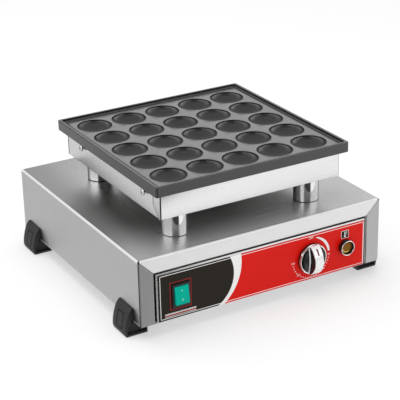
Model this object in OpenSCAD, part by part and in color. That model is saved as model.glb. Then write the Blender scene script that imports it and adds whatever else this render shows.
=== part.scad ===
// Countertop cooker with a cast plate of round hollows, on a steel base with its controls in front.
// The origin is on the ground under the middle of the base. +X is to the right and +Y to the back.

/* [Base] */
// Width of the base, side to side
base_w = 380; // [360:1:460]
// Depth of the base, front to back
base_d = 374; // [364:1:460]
// Height of the folded base, without its feet
base_h = 95.5; // [90:0.5:130]
// Thickness of the folded sheet
sheet = 1; // [0.8:0.1:1.4]
// Outside radius of the folds
bend_r = 2; // [1.6:0.1:4]
// Width of the frame round the front and back openings
frame_w = 23; // [18:0.5:25]
// Depth of the lip turned in round each opening
lip_d = 8; // [5:0.5:12]
// Width of the lips turned in under the sides
floor_lip = 24; // [22:0.5:30]
// Gap between a panel and the frame round it
panel_gap = 2; // [1:0.1:3]
// Distance of the panels behind the frame's face
panel_recess = 0.5; // [0:0.1:1]
// Depth of a panel's turned-in edges
panel_return = 10; // [6:0.5:14]
// Depth of a panel's lower lip, under the floor pan
panel_foot = 22; // [18:0.5:30]
// Thickness of the printed front overlay
label_t = 0.4; // [0.2:0.05:0.6]
// Bare steel left round the overlay
label_margin = 2.5; // [1:0.1:5]
// Number of vent slots in the back panel
back_slots = 9; // [3:1:13]
// Distance between vent slots
slot_pitch = 12; // [9:0.5:14]
// Length of a vent slot
slot_len = 36; // [20:1:44]
// Width of a vent slot
slot_w = 4; // [3:0.5:6]

/* [Feet] */
// Height of the base above the ground
foot_lift = 20; // [16:0.5:30]
// Width of a foot, front to back
foot_w = 38; // [32:1:50]
// Height of the foot's upright part against the side
foot_rise = 20.5; // [14:0.5:30]
// How far a foot stands out from the side
foot_out = 12.5; // [9:0.5:18]
// How far a foot reaches under the base
foot_under = 20.5; // [20:0.5:24]
// Thickness of a foot's upper edge
foot_edge = 2.5; // [2:0.5:4]
// Distance from a foot to the front or back of the base
foot_inset = 19.5; // [12:0.5:40]
// Depth of the hollow in a foot's ends
foot_web = 3; // [1:0.5:6]

/* [Columns] */
// Outside diameter of a column
col_d = 35; // [34:0.5:44]
// Wall of a column
col_wall = 1.5; // [1:0.1:2]
// Height of the columns between base and heater housing
col_h = 35; // [25:0.5:60]
// Distance between the left and right columns
col_span_x = 209; // [190:1:220]
// Distance between the front and back columns
col_span_y = 225; // [200:1:232]
// Diameter of the tie rods in the columns
tie_d = 8; // [6:0.5:9]
// Diameter of the tie rods' washers
tie_washer_d = 20; // [17:0.5:21]

/* [Heater housing] */
// Outside width and depth of the heater housing
housing_w = 280; // [256:1:300]
// Height of the heater housing
housing_h = 36.5; // [34:0.5:50]
// Width of the tabs folded round its corners
tab_w = 17; // [8:0.5:22]
// Thickness of the folded tabs
tab_t = 0.8; // [0.5:0.1:1.2]
// Distance of the front side screws from the front of the housing
side_screw_front = 32; // [26:1:80]
// Distance of the back side screws from the back of the housing
side_screw_back = 62; // [26:1:100]
// Distance of the side screws' heads from the wall
side_screw_stand = 10; // [9:0.5:14]

/* [Plate] */
// Overhang of the cast plate past the housing
plate_over = 10; // [8:0.5:20]
// Place of the plate's middle, from the middle of the base
plate_y = -18; // [-24:1:0]
// Height of the plate's rim side above the housing
rim_h = 15; // [13:0.5:20]
// Width of the rim's top
rim_w = 4; // [3:0.5:5]
// Width of the step inside the rim
step_w = 2; // [1:0.5:3]
// Depth of the step below the rim's top
step_h = 2; // [1:0.25:2.5]
// Depth of the deck below the rim's top
deck_drop = 4.5; // [4.25:0.25:6]
// Depth of the core that sits inside the housing
core_h = 10; // [9:0.5:12]
// Gap between the core and the housing's wall
core_gap = 1; // [0.5:0.1:2]
// Outside corner radius of the plate
plate_r = 3; // [1:0.5:6]
// Number of hollows along one side
hollow_n = 5; // [3:1:5]
// Width from the plate's edge to the outermost hollow's square
deck_margin = 12.5; // [11:0.5:20]
// Narrowest width of deck between two hollows
hollow_land = 5; // [4:0.5:12]
// Depth of a hollow
hollow_depth = 11; // [9:0.5:14]

/* [Heater] */
// Diameter of the tubular heating element
el_d = 8.5; // [6.5:0.5:9]
// Half length of the element's straight runs
run_half = 100; // [80:1:102]
// Distance between the element's runs
run_pitch = 40; // [34:1:40]
// Thickness of the clamp plate under the element
clamp_t = 2; // [1.5:0.1:2.5]
// Margin of the clamp plate past the straight runs
clamp_margin = 8; // [4:0.5:10]
// Diameter of the clamp studs
stud_d = 6; // [5:0.5:6]
// Half distance between the clamp studs, side to side
stud_x = 70; // [50:1:80]
// Diameter of the heat sensor's bulb
bulb_d = 6; // [4:0.5:6]
// Distance of the bulb's end from the ends of the element's straight runs
bulb_inset = 10; // [6:1:40]
// Diameter of the sensor's thin tube
capillary_d = 2; // [1.5:0.1:2.5]
// Diameter of an insulated lead
lead_d = 3; // [2:0.1:3.2]

/* [Controls] */
// Height of the controls' centres above the base's underside
control_z = 33; // [31:0.5:36]
// Place of the thermostat's axis
dial_x = 76; // [40:0.5:84]
// Place of the switch's centre
switch_x = -129; // [-132:0.5:-60]
// Place of the lamp's centre
lamp_x = 132.5; // [122:0.5:138]
// Height of the lamp's centre above the other controls' centres
lamp_up = 3; // [-2:0.5:6]
// Diameter of the knob
knob_d = 44; // [36:0.5:50]
// Height of the knob
knob_h = 21; // [18:0.5:28]
// Thickness of the knob's skirt at its edge
skirt_h = 6; // [5:0.5:8]
// Rise of the skirt's face towards the grip bar
skirt_rise = 3; // [1:0.5:4]
// Width of the knob's grip bar
grip_w = 14; // [12:0.5:18]
// Radius of the half-moon grip bar
crown_r = 24; // [22:0.5:60]
// Gap between the knob and the overlay
knob_gap = 0.9; // [0.5:0.1:1.5]
// Depth of the shaft hole in the knob
knob_bore = 13; // [10:0.5:14]
// Length of the pointer mark
pointer_len = 7; // [5:0.5:10]
// Width of the pointer mark
pointer_w = 1.8; // [1:0.1:3]
// Diameter of the thermostat's shaft
shaft_d = 6; // [5:0.5:7]
// Width of the thermostat's body
thermo_w = 46; // [42:1:56]
// Height of the thermostat's body
thermo_h = 40; // [34:1:44]
// Depth of the thermostat's body
thermo_depth = 30; // [24:1:40]
// Distance between the thermostat's two screws
thermo_screw_span = 28; // [24:0.5:32]
// Width of the rocker
rocker_w = 20; // [16:0.5:24]
// Length of the rocker
rocker_l = 25; // [20:0.5:27]
// Height of the rocker's face in front of its pivot
rocker_front = 7; // [6:0.25:9]
// Tilt of the rocker to each side of the middle
rocker_tilt = 9; // [5:0.5:11]
// Diameter of the rocker's pivot pins
pivot_d = 2.4; // [2:0.1:3]
// Depth of the pivot behind the bezel's face
pivot_depth = 4; // [3.8:0.1:5]
// Wall of the switch's body
switch_wall = 0.9; // [0.8:0.1:1.5]
// Depth of the switch's body behind the overlay
switch_depth = 24; // [16:1:34]
// Width of the switch's bezel past its body
bezel_edge = 1.8; // [1:0.1:3]
// Thickness of the switch's bezel
bezel_t = 2; // [1.5:0.1:2.4]
// Outside diameter of the lamp's ring
lamp_d = 22; // [18:0.5:24]
// Height of the lamp's ring
lamp_h = 8.5; // [6:0.5:12]
// Wall of the lamp's ring
lamp_wall = 2; // [1:0.1:2.5]
// Depth of the lamp's lens below the ring's edge
lens_sink = 3.5; // [1:0.5:4]
// Diameter of the lamp's threaded body
lamp_thread_d = 14; // [10:0.5:15]
// Length of the lamp's threaded body
lamp_thread = 20; // [12:0.5:30]

/* [Supply] */
// Place of the cable gland's axis
gland_x = -120; // [-135:1:-90]
// Height of the cable gland above the base's underside
gland_z = 35; // [28:0.5:40]
// Diameter of the gland's bore
gland_bore = 10; // [7:0.5:11]
// Diameter of the gland's thread
gland_thread_d = 19.5; // [17:0.5:20]
// Reach of the gland behind the back panel
gland_reach = 22.4; // [20:0.2:30]
// Width of the terminal block
block_w = 50; // [40:1:60]
// Depth of the terminal block
block_d = 22; // [18:1:26]
// Height of the terminal block
block_h = 20; // [16:1:26]
// Place of the terminal block's centre, side to side
block_x = -50; // [-60:1:-30]
// Distance of the terminal block's centre from the back
block_back = 70; // [50:1:80]

/* [Fasteners] */
// Diameter of the sheet metal and foot screws
screw_d = 5; // [4:0.5:5]
// Height of a screw head
head_h = 3.2; // [2.5:0.1:4]
// Diameter of a screw head
head_d = 8.5; // [8:0.5:10]
// Distance of the outer floor screws from the middle
floor_screw_x = 120; // [60:1:140]

/* [Fits] */
// Clearance round a turning shaft or pin
run_fit = 0.05; // [0.02:0.01:0.1]
// Clearance of a part that drops into a hole
drop_fit = 0.25; // [0.15:0.05:0.4]
// Clearance round the rocker
rocker_fit = 0.3; // [0.2:0.05:0.5]
// Gap under round parts that are clamped to a flat face
seat_fit = 0.1; // [0.05:0.01:0.2]

/* [Hidden] */
$fn = 64;
eps = 0.01;
past = 1;
zb = foot_lift;
zt = zb + base_h;
yf = -base_d / 2;
yr = base_d / 2;
open_hw = base_w / 2 - frame_w;
open_h = base_h - frame_w;
panel_hw = open_hw - panel_gap;
panel_h = open_h - panel_gap;
panel_y = yf + panel_recess;
panel_back = panel_y + sheet;
label_y = panel_y - label_t;
pan_z = zb + sheet;
pan_top = pan_z + sheet;
pan_hw = base_w / 2 - sheet - panel_gap;
pan_y = yf + panel_recess + sheet + panel_gap;
zc = zb + control_z;
lamp_z = zc + lamp_up;
z_house = zt + col_h;
z_plate = z_house + housing_h;
z_rim = z_plate + rim_h;
z_deck = z_rim - deck_drop;
z_under = z_plate - core_h;
plate_w = housing_w + 2 * plate_over;
hollow_pitch = (plate_w - 2 * deck_margin) / hollow_n;
hollow_d = hollow_pitch - hollow_land;
hollow_r = (hollow_d * hollow_d / 4 + hollow_depth * hollow_depth) / (2 * hollow_depth);
house_in = housing_w / 2 - sheet;
core_hw = house_in - core_gap;
el_z = z_under - el_d / 2 - seat_fit;
runs = 6;
lead_bend = 12;
pin_tail = 3;
lead_sides = 8;
lead_side = [0.36, 0.48, 0.8];
run_y0 = plate_y - run_pitch * (runs - 1) / 2;
clamp_hx = run_half + clamp_margin;
clamp_hy = run_pitch * (runs - 1) / 2 + clamp_margin;
clamp_top = z_under - el_d - 2 * seat_fit;
clamp_bot = clamp_top - clamp_t;
bulb_len = run_half - bulb_inset;
stud_nut_h = 0.8 * stud_d;
stud_tail = 1;
mat_z = z_house + sheet;
mat_top = clamp_bot - stud_nut_h - stud_tail - drop_fit;
mat_hw = house_in - 2;
tie_nut_h = 0.8 * tie_d;
tie_tail = 2;
tie_washer_t = 1.5;
tie_well_d = col_d - 2 * col_wall;
route_r = (tie_washer_d / 2 + tie_well_d / 2) / 2;
route_z = mat_top + lead_d / 2 + drop_fit;
pin_z = el_z - el_d / 2 - pin_tail;
pin_x = -clamp_hx - el_d;
nut_h = 0.8 * screw_d;
foot_screw_x = base_w / 2 - foot_under / 2;
foot_y = base_d / 2 - foot_inset - foot_w / 2;
foot_seat = 8;
block_y = yr - block_back;
col_left = -col_span_x / 2;
col_right = col_span_x / 2;
col_front = plate_y - col_span_y / 2;
col_back = plate_y + col_span_y / 2;
rocker_reach = rocker_l / 2 * cos(rocker_tilt) + rocker_front * sin(rocker_tilt);
rocker_back = 4;
cavity_hw = rocker_w / 2 + rocker_fit;
cavity_hh = rocker_reach + rocker_fit;
body_hw = cavity_hw + switch_wall;
body_hh = cavity_hh + switch_wall;
pivot_y = label_y - bezel_t + pivot_depth;
cavity_y = pivot_y + rocker_l / 2 * sin(rocker_tilt) + rocker_back + rocker_fit;
knob_y = label_y - knob_gap;
skirt_edge = 3;
shaft_in = 14;
shaft_flat = shaft_d / 6;
shaft_hole_d = shaft_d + 4;
thermo_screw_d = 4;
thermo_head_d = 7;
thermo_head_h = 2.4;
lamp_floor = 1.5;
gland_wall = 5;
gland_hex = gland_thread_d + 5;
gland_flange = 5;
gland_neck = 10;
gland_tail = 9;
pointer_edge = 3.5;
pointer_sink = 0.8;
pointer_proud = 0.2;

// Box between two opposite corners
module slab(a, b) {
    translate(a)
        cube(b - a);
}

// Outline with its two upper corners rounded, standing on the X axis
module fold_outline(w, h, r) {
    translate([-w / 2, 0])
        square([w, h - r]);
    translate([-w / 2 + r, 0])
        square([w - 2 * r, h]);
    for (side = [-1, 1])
        translate([side * (w / 2 - r), h - r])
            circle(r);
}

// Square outline with rounded corners, about the origin
module round_square(w, r) {
    square([w, w - 2 * r], center = true);
    square([w - 2 * r, w], center = true);
    for (sx = [-1, 1], sy = [-1, 1])
        translate([sx * (w / 2 - r), sy * (w / 2 - r)])
            circle(r);
}

// Outline in X and Z carried from y0 to y1
module along_y(y0, y1) {
    translate([0, y1, 0])
        rotate([90, 0, 0])
            linear_extrude(y1 - y0)
                children();
}

// Things built upwards, turned to face the front from height z
module facing_front(x, y, z) {
    translate([x, y, z])
        rotate([90, 0, 0])
            children();
}

// Things built upwards, turned to face the back
module facing_back(x, y, z) {
    translate([x, y, z])
        rotate([-90, 0, 0])
            children();
}

// Hexagon nut with a round hole, standing on its face
module hex_nut(across, h, hole) {
    difference() {
        cylinder(d = across / cos(30), h = h, $fn = 6);
        translate([0, 0, -past])
            cylinder(d = hole, h = h + 2 * past);
    }
}

// Pan head with its shank below, head seat at height zero
module pan_screw(d, len, hd, hh) {
    translate([0, 0, -len])
        cylinder(d = d, h = len + eps);
    cylinder(d = hd, h = hh * 0.6);
    translate([0, 0, hh * 0.6])
        cylinder(d1 = hd, d2 = hd * 0.7, h = hh * 0.4);
}

function unit(v) = v / norm(v);

// Point on the way from a to b, at most the given distance from a
function toward(a, b, reach) = a + unit(b - a) * min(reach, norm(b - a) * 0.4);

// Route with each of its corners cut off
function eased(p, reach) = [
    for (i = [0 : len(p) - 1])
        each i == 0 || i == len(p) - 1
            ? [p[i]]
            : [toward(p[i], p[i - 1], reach), toward(p[i], p[i + 1], reach)]
];

// Direction of a route at one of its points
function way(p, i) = unit(
    (i > 0 ? unit(p[i] - p[i - 1]) : [0, 0, 0]) + (i < len(p) - 1 ? unit(p[i + 1] - p[i]) : [0, 0, 0])
);

// Ring of points round a route's point, square to the way it runs there
function ring(p, i, d) =
    let (t = way(p, i), s = unit(cross(t, lead_side)), u = cross(t, s))
    [for (k = [0 : lead_sides - 1]) let (a = 360 * k / lead_sides) p[i] + d / 2 * (cos(a) * s + sin(a) * u)];

// Wire or thin tube along a route, as one closed skin
module wire(route, d) {
    p = eased(route, 2 * d);
    n = lead_sides;
    last = (len(p) - 1) * n;
    polyhedron(
        points = [for (i = [0 : len(p) - 1]) each ring(p, i, d)],
        faces = concat(
            [for (k = [1 : n - 2]) [0, k, k + 1]],
            [for (k = [1 : n - 2]) [last, last + k + 1, last + k]],
            [for (i = [0 : len(p) - 2], k = [0 : n - 1]) [i * n + k, (i + 1) * n + k, i * n + (k + 1) % n]],
            [
                for (i = [0 : len(p) - 2], k = [0 : n - 1])
                    [i * n + (k + 1) % n, (i + 1) * n + k, (i + 1) * n + (k + 1) % n]
            ]
        )
    );
}

module at_columns() {
    for (x = [col_left, col_right], y = [col_front, col_back])
        translate([x, y, 0])
            children();
}

module at_feet() {
    for (sx = [-1, 1], sy = [-1, 1])
        translate([sx * foot_screw_x, sy * foot_y, 0])
            children();
}

module at_floor_screws() {
    for (x = [-floor_screw_x, 0, floor_screw_x], sy = [-1, 1])
        translate([x, sy * (yr - panel_recess - panel_foot / 2), 0])
            children();
}

module at_studs() {
    for (p = [[-stud_x, -run_pitch], [stud_x, -run_pitch], [0, 0], [-stud_x, run_pitch], [stud_x, run_pitch]])
        translate([p.x, plate_y + p.y, 0])
            children();
}

module at_hollows() {
    for (i = [0 : hollow_n - 1], j = [0 : hollow_n - 1])
        translate([(i - (hollow_n - 1) / 2) * hollow_pitch, plate_y + (j - (hollow_n - 1) / 2) * hollow_pitch, 0])
            children();
}

// Side screws: children are built along +X on the right-hand wall and mirrored to the left
module at_side_screws() {
    for (side = [0, 1], y = [side_screw_front - housing_w / 2, housing_w / 2 - side_screw_back])
        mirror([side, 0, 0])
            translate([housing_w / 2, plate_y + y, z_plate - core_h / 2 - 0.5])
                rotate([0, 90, 0])
                    children();
}

// Where leads and the thin tube pass a column, beside its tie rod
function pass_sensor() = [col_right - route_r, col_front];
function pass_lead_a() = [col_left, col_back - route_r];
function pass_lead_b() = [col_left - route_r, col_back];

module at_passes() {
    for (p = [pass_sensor(), pass_lead_a(), pass_lead_b()])
        translate([p.x, p.y, 0])
            children();
}

module tie_holes(z, h) {
    translate([0, 0, z]) {
        at_columns()
            cylinder(d = tie_d + 2 * drop_fit, h = h);
        at_passes()
            cylinder(d = lead_d + 2 * drop_fit, h = h);
    }
}

// Turned-in lips round the opening of one end frame
module opening_lips() {
    for (side = [-1, 1])
        translate([side * (open_hw + sheet / 2) - sheet / 2, yf, pan_top + panel_gap])
            cube([sheet, lip_d, zb + open_h + sheet - pan_top - panel_gap]);
    slab([-open_hw, yf, zb + open_h], [open_hw, yf + lip_d, zb + open_h + sheet]);
}

module base_shell() {
    color("silver")
        difference() {
            union() {
                difference() {
                    translate([0, 0, zb])
                        along_y(yf, yr)
                            fold_outline(base_w, base_h, bend_r);
                    translate([0, 0, zb - past])
                        along_y(yf + sheet, yr - sheet)
                            fold_outline(base_w - 2 * sheet, base_h - sheet + past, bend_r - sheet);
                    slab([-open_hw, yf - past, zb - past], [open_hw, yr + past, zb + open_h]);
                }
                opening_lips();
                mirror([0, 1, 0])
                    opening_lips();
                for (side = [0, 1])
                    mirror([side, 0, 0])
                        slab(
                            [base_w / 2 - floor_lip, yf + sheet + lip_d, zb],
                            [base_w / 2 - sheet / 2, yr - sheet - lip_d, zb + sheet]
                        );
            }
            tie_holes(zt - sheet - past, sheet + 2 * past);
            at_feet()
                translate([0, 0, zb - past])
                    cylinder(d = screw_d + 2 * drop_fit, h = sheet + 2 * past);
        }
}

// Panel with turned-in edges, facing the front, before its holes are cut
module panel_blank() {
    slab([-panel_hw, panel_y, zb], [panel_hw, panel_back, zb + panel_h]);
    for (side = [0, 1])
        mirror([side, 0, 0])
            slab([panel_hw - sheet, panel_y, pan_top + panel_gap], [panel_hw, panel_y + panel_return, zb + panel_h]);
    slab([-panel_hw, panel_y, zb + panel_h - sheet], [panel_hw, panel_y + panel_return, zb + panel_h]);
    slab([-panel_hw, panel_y, zb], [panel_hw, panel_y + panel_foot, zb + sheet]);
}

module floor_screw_holes() {
    at_floor_screws()
        translate([0, 0, zb - past])
            cylinder(d = screw_d + 2 * drop_fit, h = 2 * sheet + 2 * past);
}

// Cuts for the controls, through the panel and its overlay
module control_cuts() {
    slab(
        [switch_x - body_hw - drop_fit, label_y - past, zc - body_hh - drop_fit],
        [switch_x + body_hw + drop_fit, panel_back + past, zc + body_hh + drop_fit]
    );
    facing_front(dial_x, panel_back + past, zc)
        cylinder(d = shaft_hole_d, h = sheet + label_t + 2 * past);
    facing_front(lamp_x, panel_back + past, lamp_z)
        cylinder(d = lamp_thread_d + 2 * drop_fit, h = sheet + label_t + 2 * past);
}

module at_thermo_screws() {
    for (side = [-1, 1])
        translate([side * thermo_screw_span / 2, 0, 0])
            children();
}

module front_panel() {
    color("gainsboro")
        difference() {
            panel_blank();
            control_cuts();
            at_thermo_screws()
                facing_front(dial_x, panel_back + past, zc)
                    cylinder(d = thermo_screw_d + 2 * drop_fit, h = sheet + 2 * past);
            floor_screw_holes();
        }
}

module front_label() {
    color("firebrick")
        difference() {
            slab(
                [-panel_hw + label_margin, label_y, zb + sheet / 2],
                [panel_hw - label_margin, panel_y, zb + panel_h - label_margin]
            );
            control_cuts();
            at_thermo_screws()
                facing_front(dial_x, panel_y + past, zc)
                    cylinder(d = thermo_head_d + 2 * drop_fit, h = label_t + 2 * past);
        }
}

module back_panel() {
    color("gainsboro")
        difference() {
            mirror([0, 1, 0])
                panel_blank();
            for (i = [0 : back_slots - 1])
                translate([(i - (back_slots - 1) / 2) * slot_pitch, 0, zb + panel_h / 2])
                    slab([-slot_w / 2, -panel_back - past, -slot_len / 2], [slot_w / 2, -panel_y + past, slot_len / 2]);
            facing_back(gland_x, -panel_back - past, zb + gland_z)
                cylinder(d = gland_thread_d + 2 * drop_fit, h = sheet + 2 * past);
            floor_screw_holes();
        }
}

module floor_pan() {
    color("gray")
        difference() {
            slab([-pan_hw, pan_y, pan_z], [pan_hw, -pan_y, pan_top]);
            floor_screw_holes();
            at_feet()
                translate([0, 0, pan_z - past])
                    cylinder(d = screw_d + 2 * drop_fit, h = sheet + 2 * past);
            for (i = [0 : back_slots - 1], y = [-slot_len, slot_len])
                translate([(i - (back_slots - 1) / 2) * slot_pitch, y, pan_z])
                    slab([-slot_w / 2, -slot_len / 2, -past], [slot_w / 2, slot_len / 2, sheet + past]);
            translate([block_x + block_w, block_y, pan_z - past])
                cylinder(d = screw_d + 2 * drop_fit, h = sheet + 2 * past);
        }
}

// Side view of a foot: under the base to the left of x = 0, against the side wall to the right
module foot_outline() {
    polygon([
        [-foot_under, 0],
        [foot_out - 1.5, 0],
        [foot_out, foot_lift / 4],
        [foot_out - 0.5, foot_lift * 0.7],
        [foot_edge + (foot_out - foot_edge) / 2, foot_lift + foot_rise * 0.55],
        [foot_edge, foot_lift + foot_rise - 1],
        [foot_edge - 1, foot_lift + foot_rise],
        [0, foot_lift + foot_rise],
        [0, foot_lift],
        [-foot_under, foot_lift]
    ]);
}

// Hollow in a foot's end, inside its outer wall, sole and upper flange
module foot_pocket() {
    polygon([
        [-foot_under + 2, 3],
        [foot_out - 3.5, 3],
        [foot_out - 3.5, foot_lift * 0.6],
        [1, foot_lift + foot_rise * 0.3],
        [1, foot_lift - 2.5],
        [-foot_under + 2, foot_lift - 2.5]
    ]);
}

module foot_right_rear() {
    difference() {
        translate([base_w / 2, 0, 0])
            difference() {
                along_y(foot_y - foot_w / 2, foot_y + foot_w / 2)
                    foot_outline();
                along_y(foot_y - foot_w / 2 - past, foot_y - foot_w / 2 + foot_web)
                    foot_pocket();
                along_y(foot_y + foot_w / 2 - foot_web, foot_y + foot_w / 2 + past)
                    foot_pocket();
            }
        translate([foot_screw_x, foot_y, -past]) {
            cylinder(d = head_d + 2, h = foot_lift - foot_seat + past);
            cylinder(d = screw_d + 2 * drop_fit, h = foot_lift + 2 * past);
        }
    }
}

module foot_rear_right() {
    color("dimgray")
        foot_right_rear();
}

module foot_rear_left() {
    color("dimgray")
        mirror([1, 0, 0])
            foot_right_rear();
}

module foot_front_right() {
    color("dimgray")
        mirror([0, 1, 0])
            foot_right_rear();
}

module foot_front_left() {
    color("dimgray")
        mirror([1, 0, 0])
            mirror([0, 1, 0])
                foot_right_rear();
}

module foot_screws() {
    color("lightgray")
        at_feet()
            translate([0, 0, foot_lift - foot_seat])
                mirror([0, 0, 1])
                    pan_screw(screw_d, foot_seat + 2 * sheet + nut_h + 1, head_d, head_h);
}

module foot_nuts() {
    color("lightgray")
        at_feet()
            translate([0, 0, pan_top])
                hex_nut(1.6 * screw_d, nut_h, screw_d + 2 * run_fit);
}

module floor_screws() {
    color("lightgray")
        at_floor_screws()
            translate([0, 0, zb])
                mirror([0, 0, 1])
                    pan_screw(screw_d, 2 * sheet + nut_h + 1, head_d, head_h);
}

module floor_nuts() {
    color("lightgray")
        at_floor_screws()
            translate([0, 0, pan_top])
                hex_nut(1.6 * screw_d, nut_h, screw_d + 2 * run_fit);
}

module column(x, y) {
    color("lightgray")
        translate([x, y, zt])
            difference() {
                cylinder(d = col_d, h = col_h);
                translate([0, 0, -past])
                    cylinder(d = tie_well_d, h = col_h + 2 * past);
            }
}

module column_front_left() {
    column(col_left, col_front);
}

module column_front_right() {
    column(col_right, col_front);
}

module column_rear_left() {
    column(col_left, col_back);
}

module column_rear_right() {
    column(col_right, col_back);
}

module tie_rods() {
    color("darkgray")
        at_columns()
            translate([0, 0, zt - sheet - tie_washer_t - tie_nut_h - tie_tail])
                cylinder(d = tie_d, h = col_h + 2 * (sheet + tie_washer_t + tie_nut_h + tie_tail));
}

module tie_washers() {
    color("lightgray")
        at_columns()
            for (z = [zt - sheet - tie_washer_t, z_house + sheet])
                translate([0, 0, z])
                    difference() {
                        cylinder(d = tie_washer_d, h = tie_washer_t);
                        translate([0, 0, -past])
                            cylinder(d = tie_d + 2 * drop_fit, h = tie_washer_t + 2 * past);
                    }
}

module tie_nuts() {
    color("lightgray")
        at_columns()
            for (z = [zt - sheet - tie_washer_t - tie_nut_h, z_house + sheet + tie_washer_t])
                translate([0, 0, z])
                    hex_nut(1.625 * tie_d, tie_nut_h, tie_d + 2 * run_fit);
}

// Tab of the front or back sheet, folded round onto the right-hand wall, lower corner cut off
module corner_tab() {
    translate([housing_w / 2, plate_y - housing_w / 2, z_house])
        rotate([90, 0, 90])
            linear_extrude(tab_t)
                polygon([
                    [0, 0],
                    [tab_w / 8, 0],
                    [tab_w, housing_h * 0.6],
                    [tab_w, housing_h],
                    [0, housing_h]
                ]);
}

module heater_housing() {
    color("gainsboro")
        difference() {
            union() {
                difference() {
                    translate([-housing_w / 2, plate_y - housing_w / 2, z_house])
                        cube([housing_w, housing_w, housing_h]);
                    translate([-house_in, plate_y - house_in, z_house + sheet])
                        cube([2 * house_in, 2 * house_in, housing_h]);
                }
                for (side = [0, 1], end = [0, 1])
                    mirror([side, 0, 0])
                        translate([0, 2 * plate_y * end, 0])
                            mirror([0, end, 0])
                                corner_tab();
            }
            tie_holes(z_house - past, sheet + 2 * past);
            at_side_screws()
                translate([0, 0, -sheet - past])
                    cylinder(d = screw_d + 2 * drop_fit, h = sheet + 2 * past);
        }
}

module side_screws() {
    color("white")
        at_side_screws()
            translate([0, 0, side_screw_stand - head_h])
                pan_screw(screw_d, side_screw_stand - head_h + sheet + core_gap + 8, head_d, head_h);
}

module side_nuts() {
    color("lightgray")
        at_side_screws()
            hex_nut(1.6 * screw_d, nut_h, screw_d + 2 * run_fit);
}

module bake_plate() {
    color("dimgray")
        difference() {
            union() {
                translate([0, plate_y, z_plate])
                    linear_extrude(rim_h)
                        round_square(plate_w, plate_r);
                translate([-core_hw, plate_y - core_hw, z_under])
                    cube([2 * core_hw, 2 * core_hw, core_h + eps]);
            }
            translate([0, plate_y, z_rim - step_h])
                linear_extrude(step_h + past)
                    round_square(plate_w - 2 * rim_w, plate_r);
            translate([0, plate_y, z_deck])
                linear_extrude(deck_drop)
                    round_square(plate_w - 2 * (rim_w + step_w), plate_r);
            at_hollows()
                translate([0, 0, z_deck - hollow_depth + hollow_r])
                    sphere(hollow_r);
            at_side_screws()
                translate([0, 0, -sheet - core_gap - 9])
                    cylinder(d = screw_d + 2 * run_fit, h = 9 + past);
            at_studs()
                translate([0, 0, z_under - past])
                    cylinder(d = stud_d + 2 * run_fit, h = core_h / 2 + past);
        }
}

// Half turn of the element between two neighbouring runs, on the right or left end
module element_bend(i, side) {
    translate([side * run_half, run_y0 + (i + 0.5) * run_pitch, el_z])
        rotate([0, 0, side > 0 ? -90 : 90])
            rotate_extrude(angle = 180)
                translate([run_pitch / 2, 0])
                    circle(d = el_d);
}

module heating_element() {
    color("darkslategray") {
        for (i = [0 : runs - 1])
            translate([-run_half, run_y0 + i * run_pitch, el_z])
                rotate([0, 90, 0])
                    cylinder(d = el_d, h = 2 * run_half);
        for (i = [0 : runs - 2])
            element_bend(i, i % 2 == 0 ? 1 : -1);
        for (i = [0, runs - 1])
            translate([pin_x, run_y0 + i * run_pitch, el_z]) {
                rotate([0, 90, 0])
                    cylinder(d = el_d, h = -pin_x - run_half);
                sphere(d = el_d);
                translate([0, 0, pin_z - el_z])
                    cylinder(d = el_d, h = el_z - pin_z);
            }
    }
}

module clamp_plate() {
    color("slategray")
        difference() {
            slab([-clamp_hx, plate_y - clamp_hy, clamp_bot], [clamp_hx, plate_y + clamp_hy, clamp_top]);
            at_studs()
                translate([0, 0, clamp_bot - past])
                    cylinder(d = stud_d + 2 * drop_fit, h = clamp_t + 2 * past);
            translate([bulb_len + capillary_d * 2, plate_y - 2 * run_pitch, clamp_bot - past])
                cylinder(d = capillary_d + 2 * past, h = clamp_t + 2 * past);
        }
}

module clamp_studs() {
    color("darkgray")
        at_studs()
            translate([0, 0, clamp_bot - stud_nut_h - stud_tail])
                cylinder(d = stud_d, h = z_under + core_h / 2 - clamp_bot + stud_nut_h + stud_tail - drop_fit);
}

module clamp_nuts() {
    color("lightgray")
        at_studs()
            translate([0, 0, clamp_bot - stud_nut_h])
                hex_nut(1.6 * stud_d, stud_nut_h, stud_d + 2 * run_fit);
}

module insulation_mat() {
    color("ivory")
        difference() {
            translate([-mat_hw, plate_y - mat_hw, mat_z])
                cube([2 * mat_hw, 2 * mat_hw, mat_top - mat_z]);
            at_columns()
                translate([0, 0, mat_z - past])
                    cylinder(d = tie_well_d + 4 * lead_d, h = mat_top - mat_z + 2 * past);
        }
}

module sensor_bulb() {
    color("peru")
        translate([0, plate_y - 2 * run_pitch, z_under - bulb_d / 2 - seat_fit])
            rotate([0, 90, 0])
                cylinder(d = bulb_d, h = bulb_len);
}

module capillary_tube() {
    bulb_z = z_under - bulb_d / 2 - seat_fit;
    down_x = bulb_len + capillary_d * 2;
    pass = pass_sensor();
    color("peru")
        wire([
            [bulb_len, plate_y - 2 * run_pitch, bulb_z],
            [down_x, plate_y - 2 * run_pitch, bulb_z],
            [down_x, plate_y - 2 * run_pitch, route_z],
            [pass.x, pass.y, route_z],
            [pass.x, pass.y, zt - lead_bend],
            [dial_x, panel_back + thermo_depth / 2, zt - lead_bend],
            [dial_x, panel_back + thermo_depth / 2, zc + thermo_h / 2]
        ], capillary_d);
}

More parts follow.
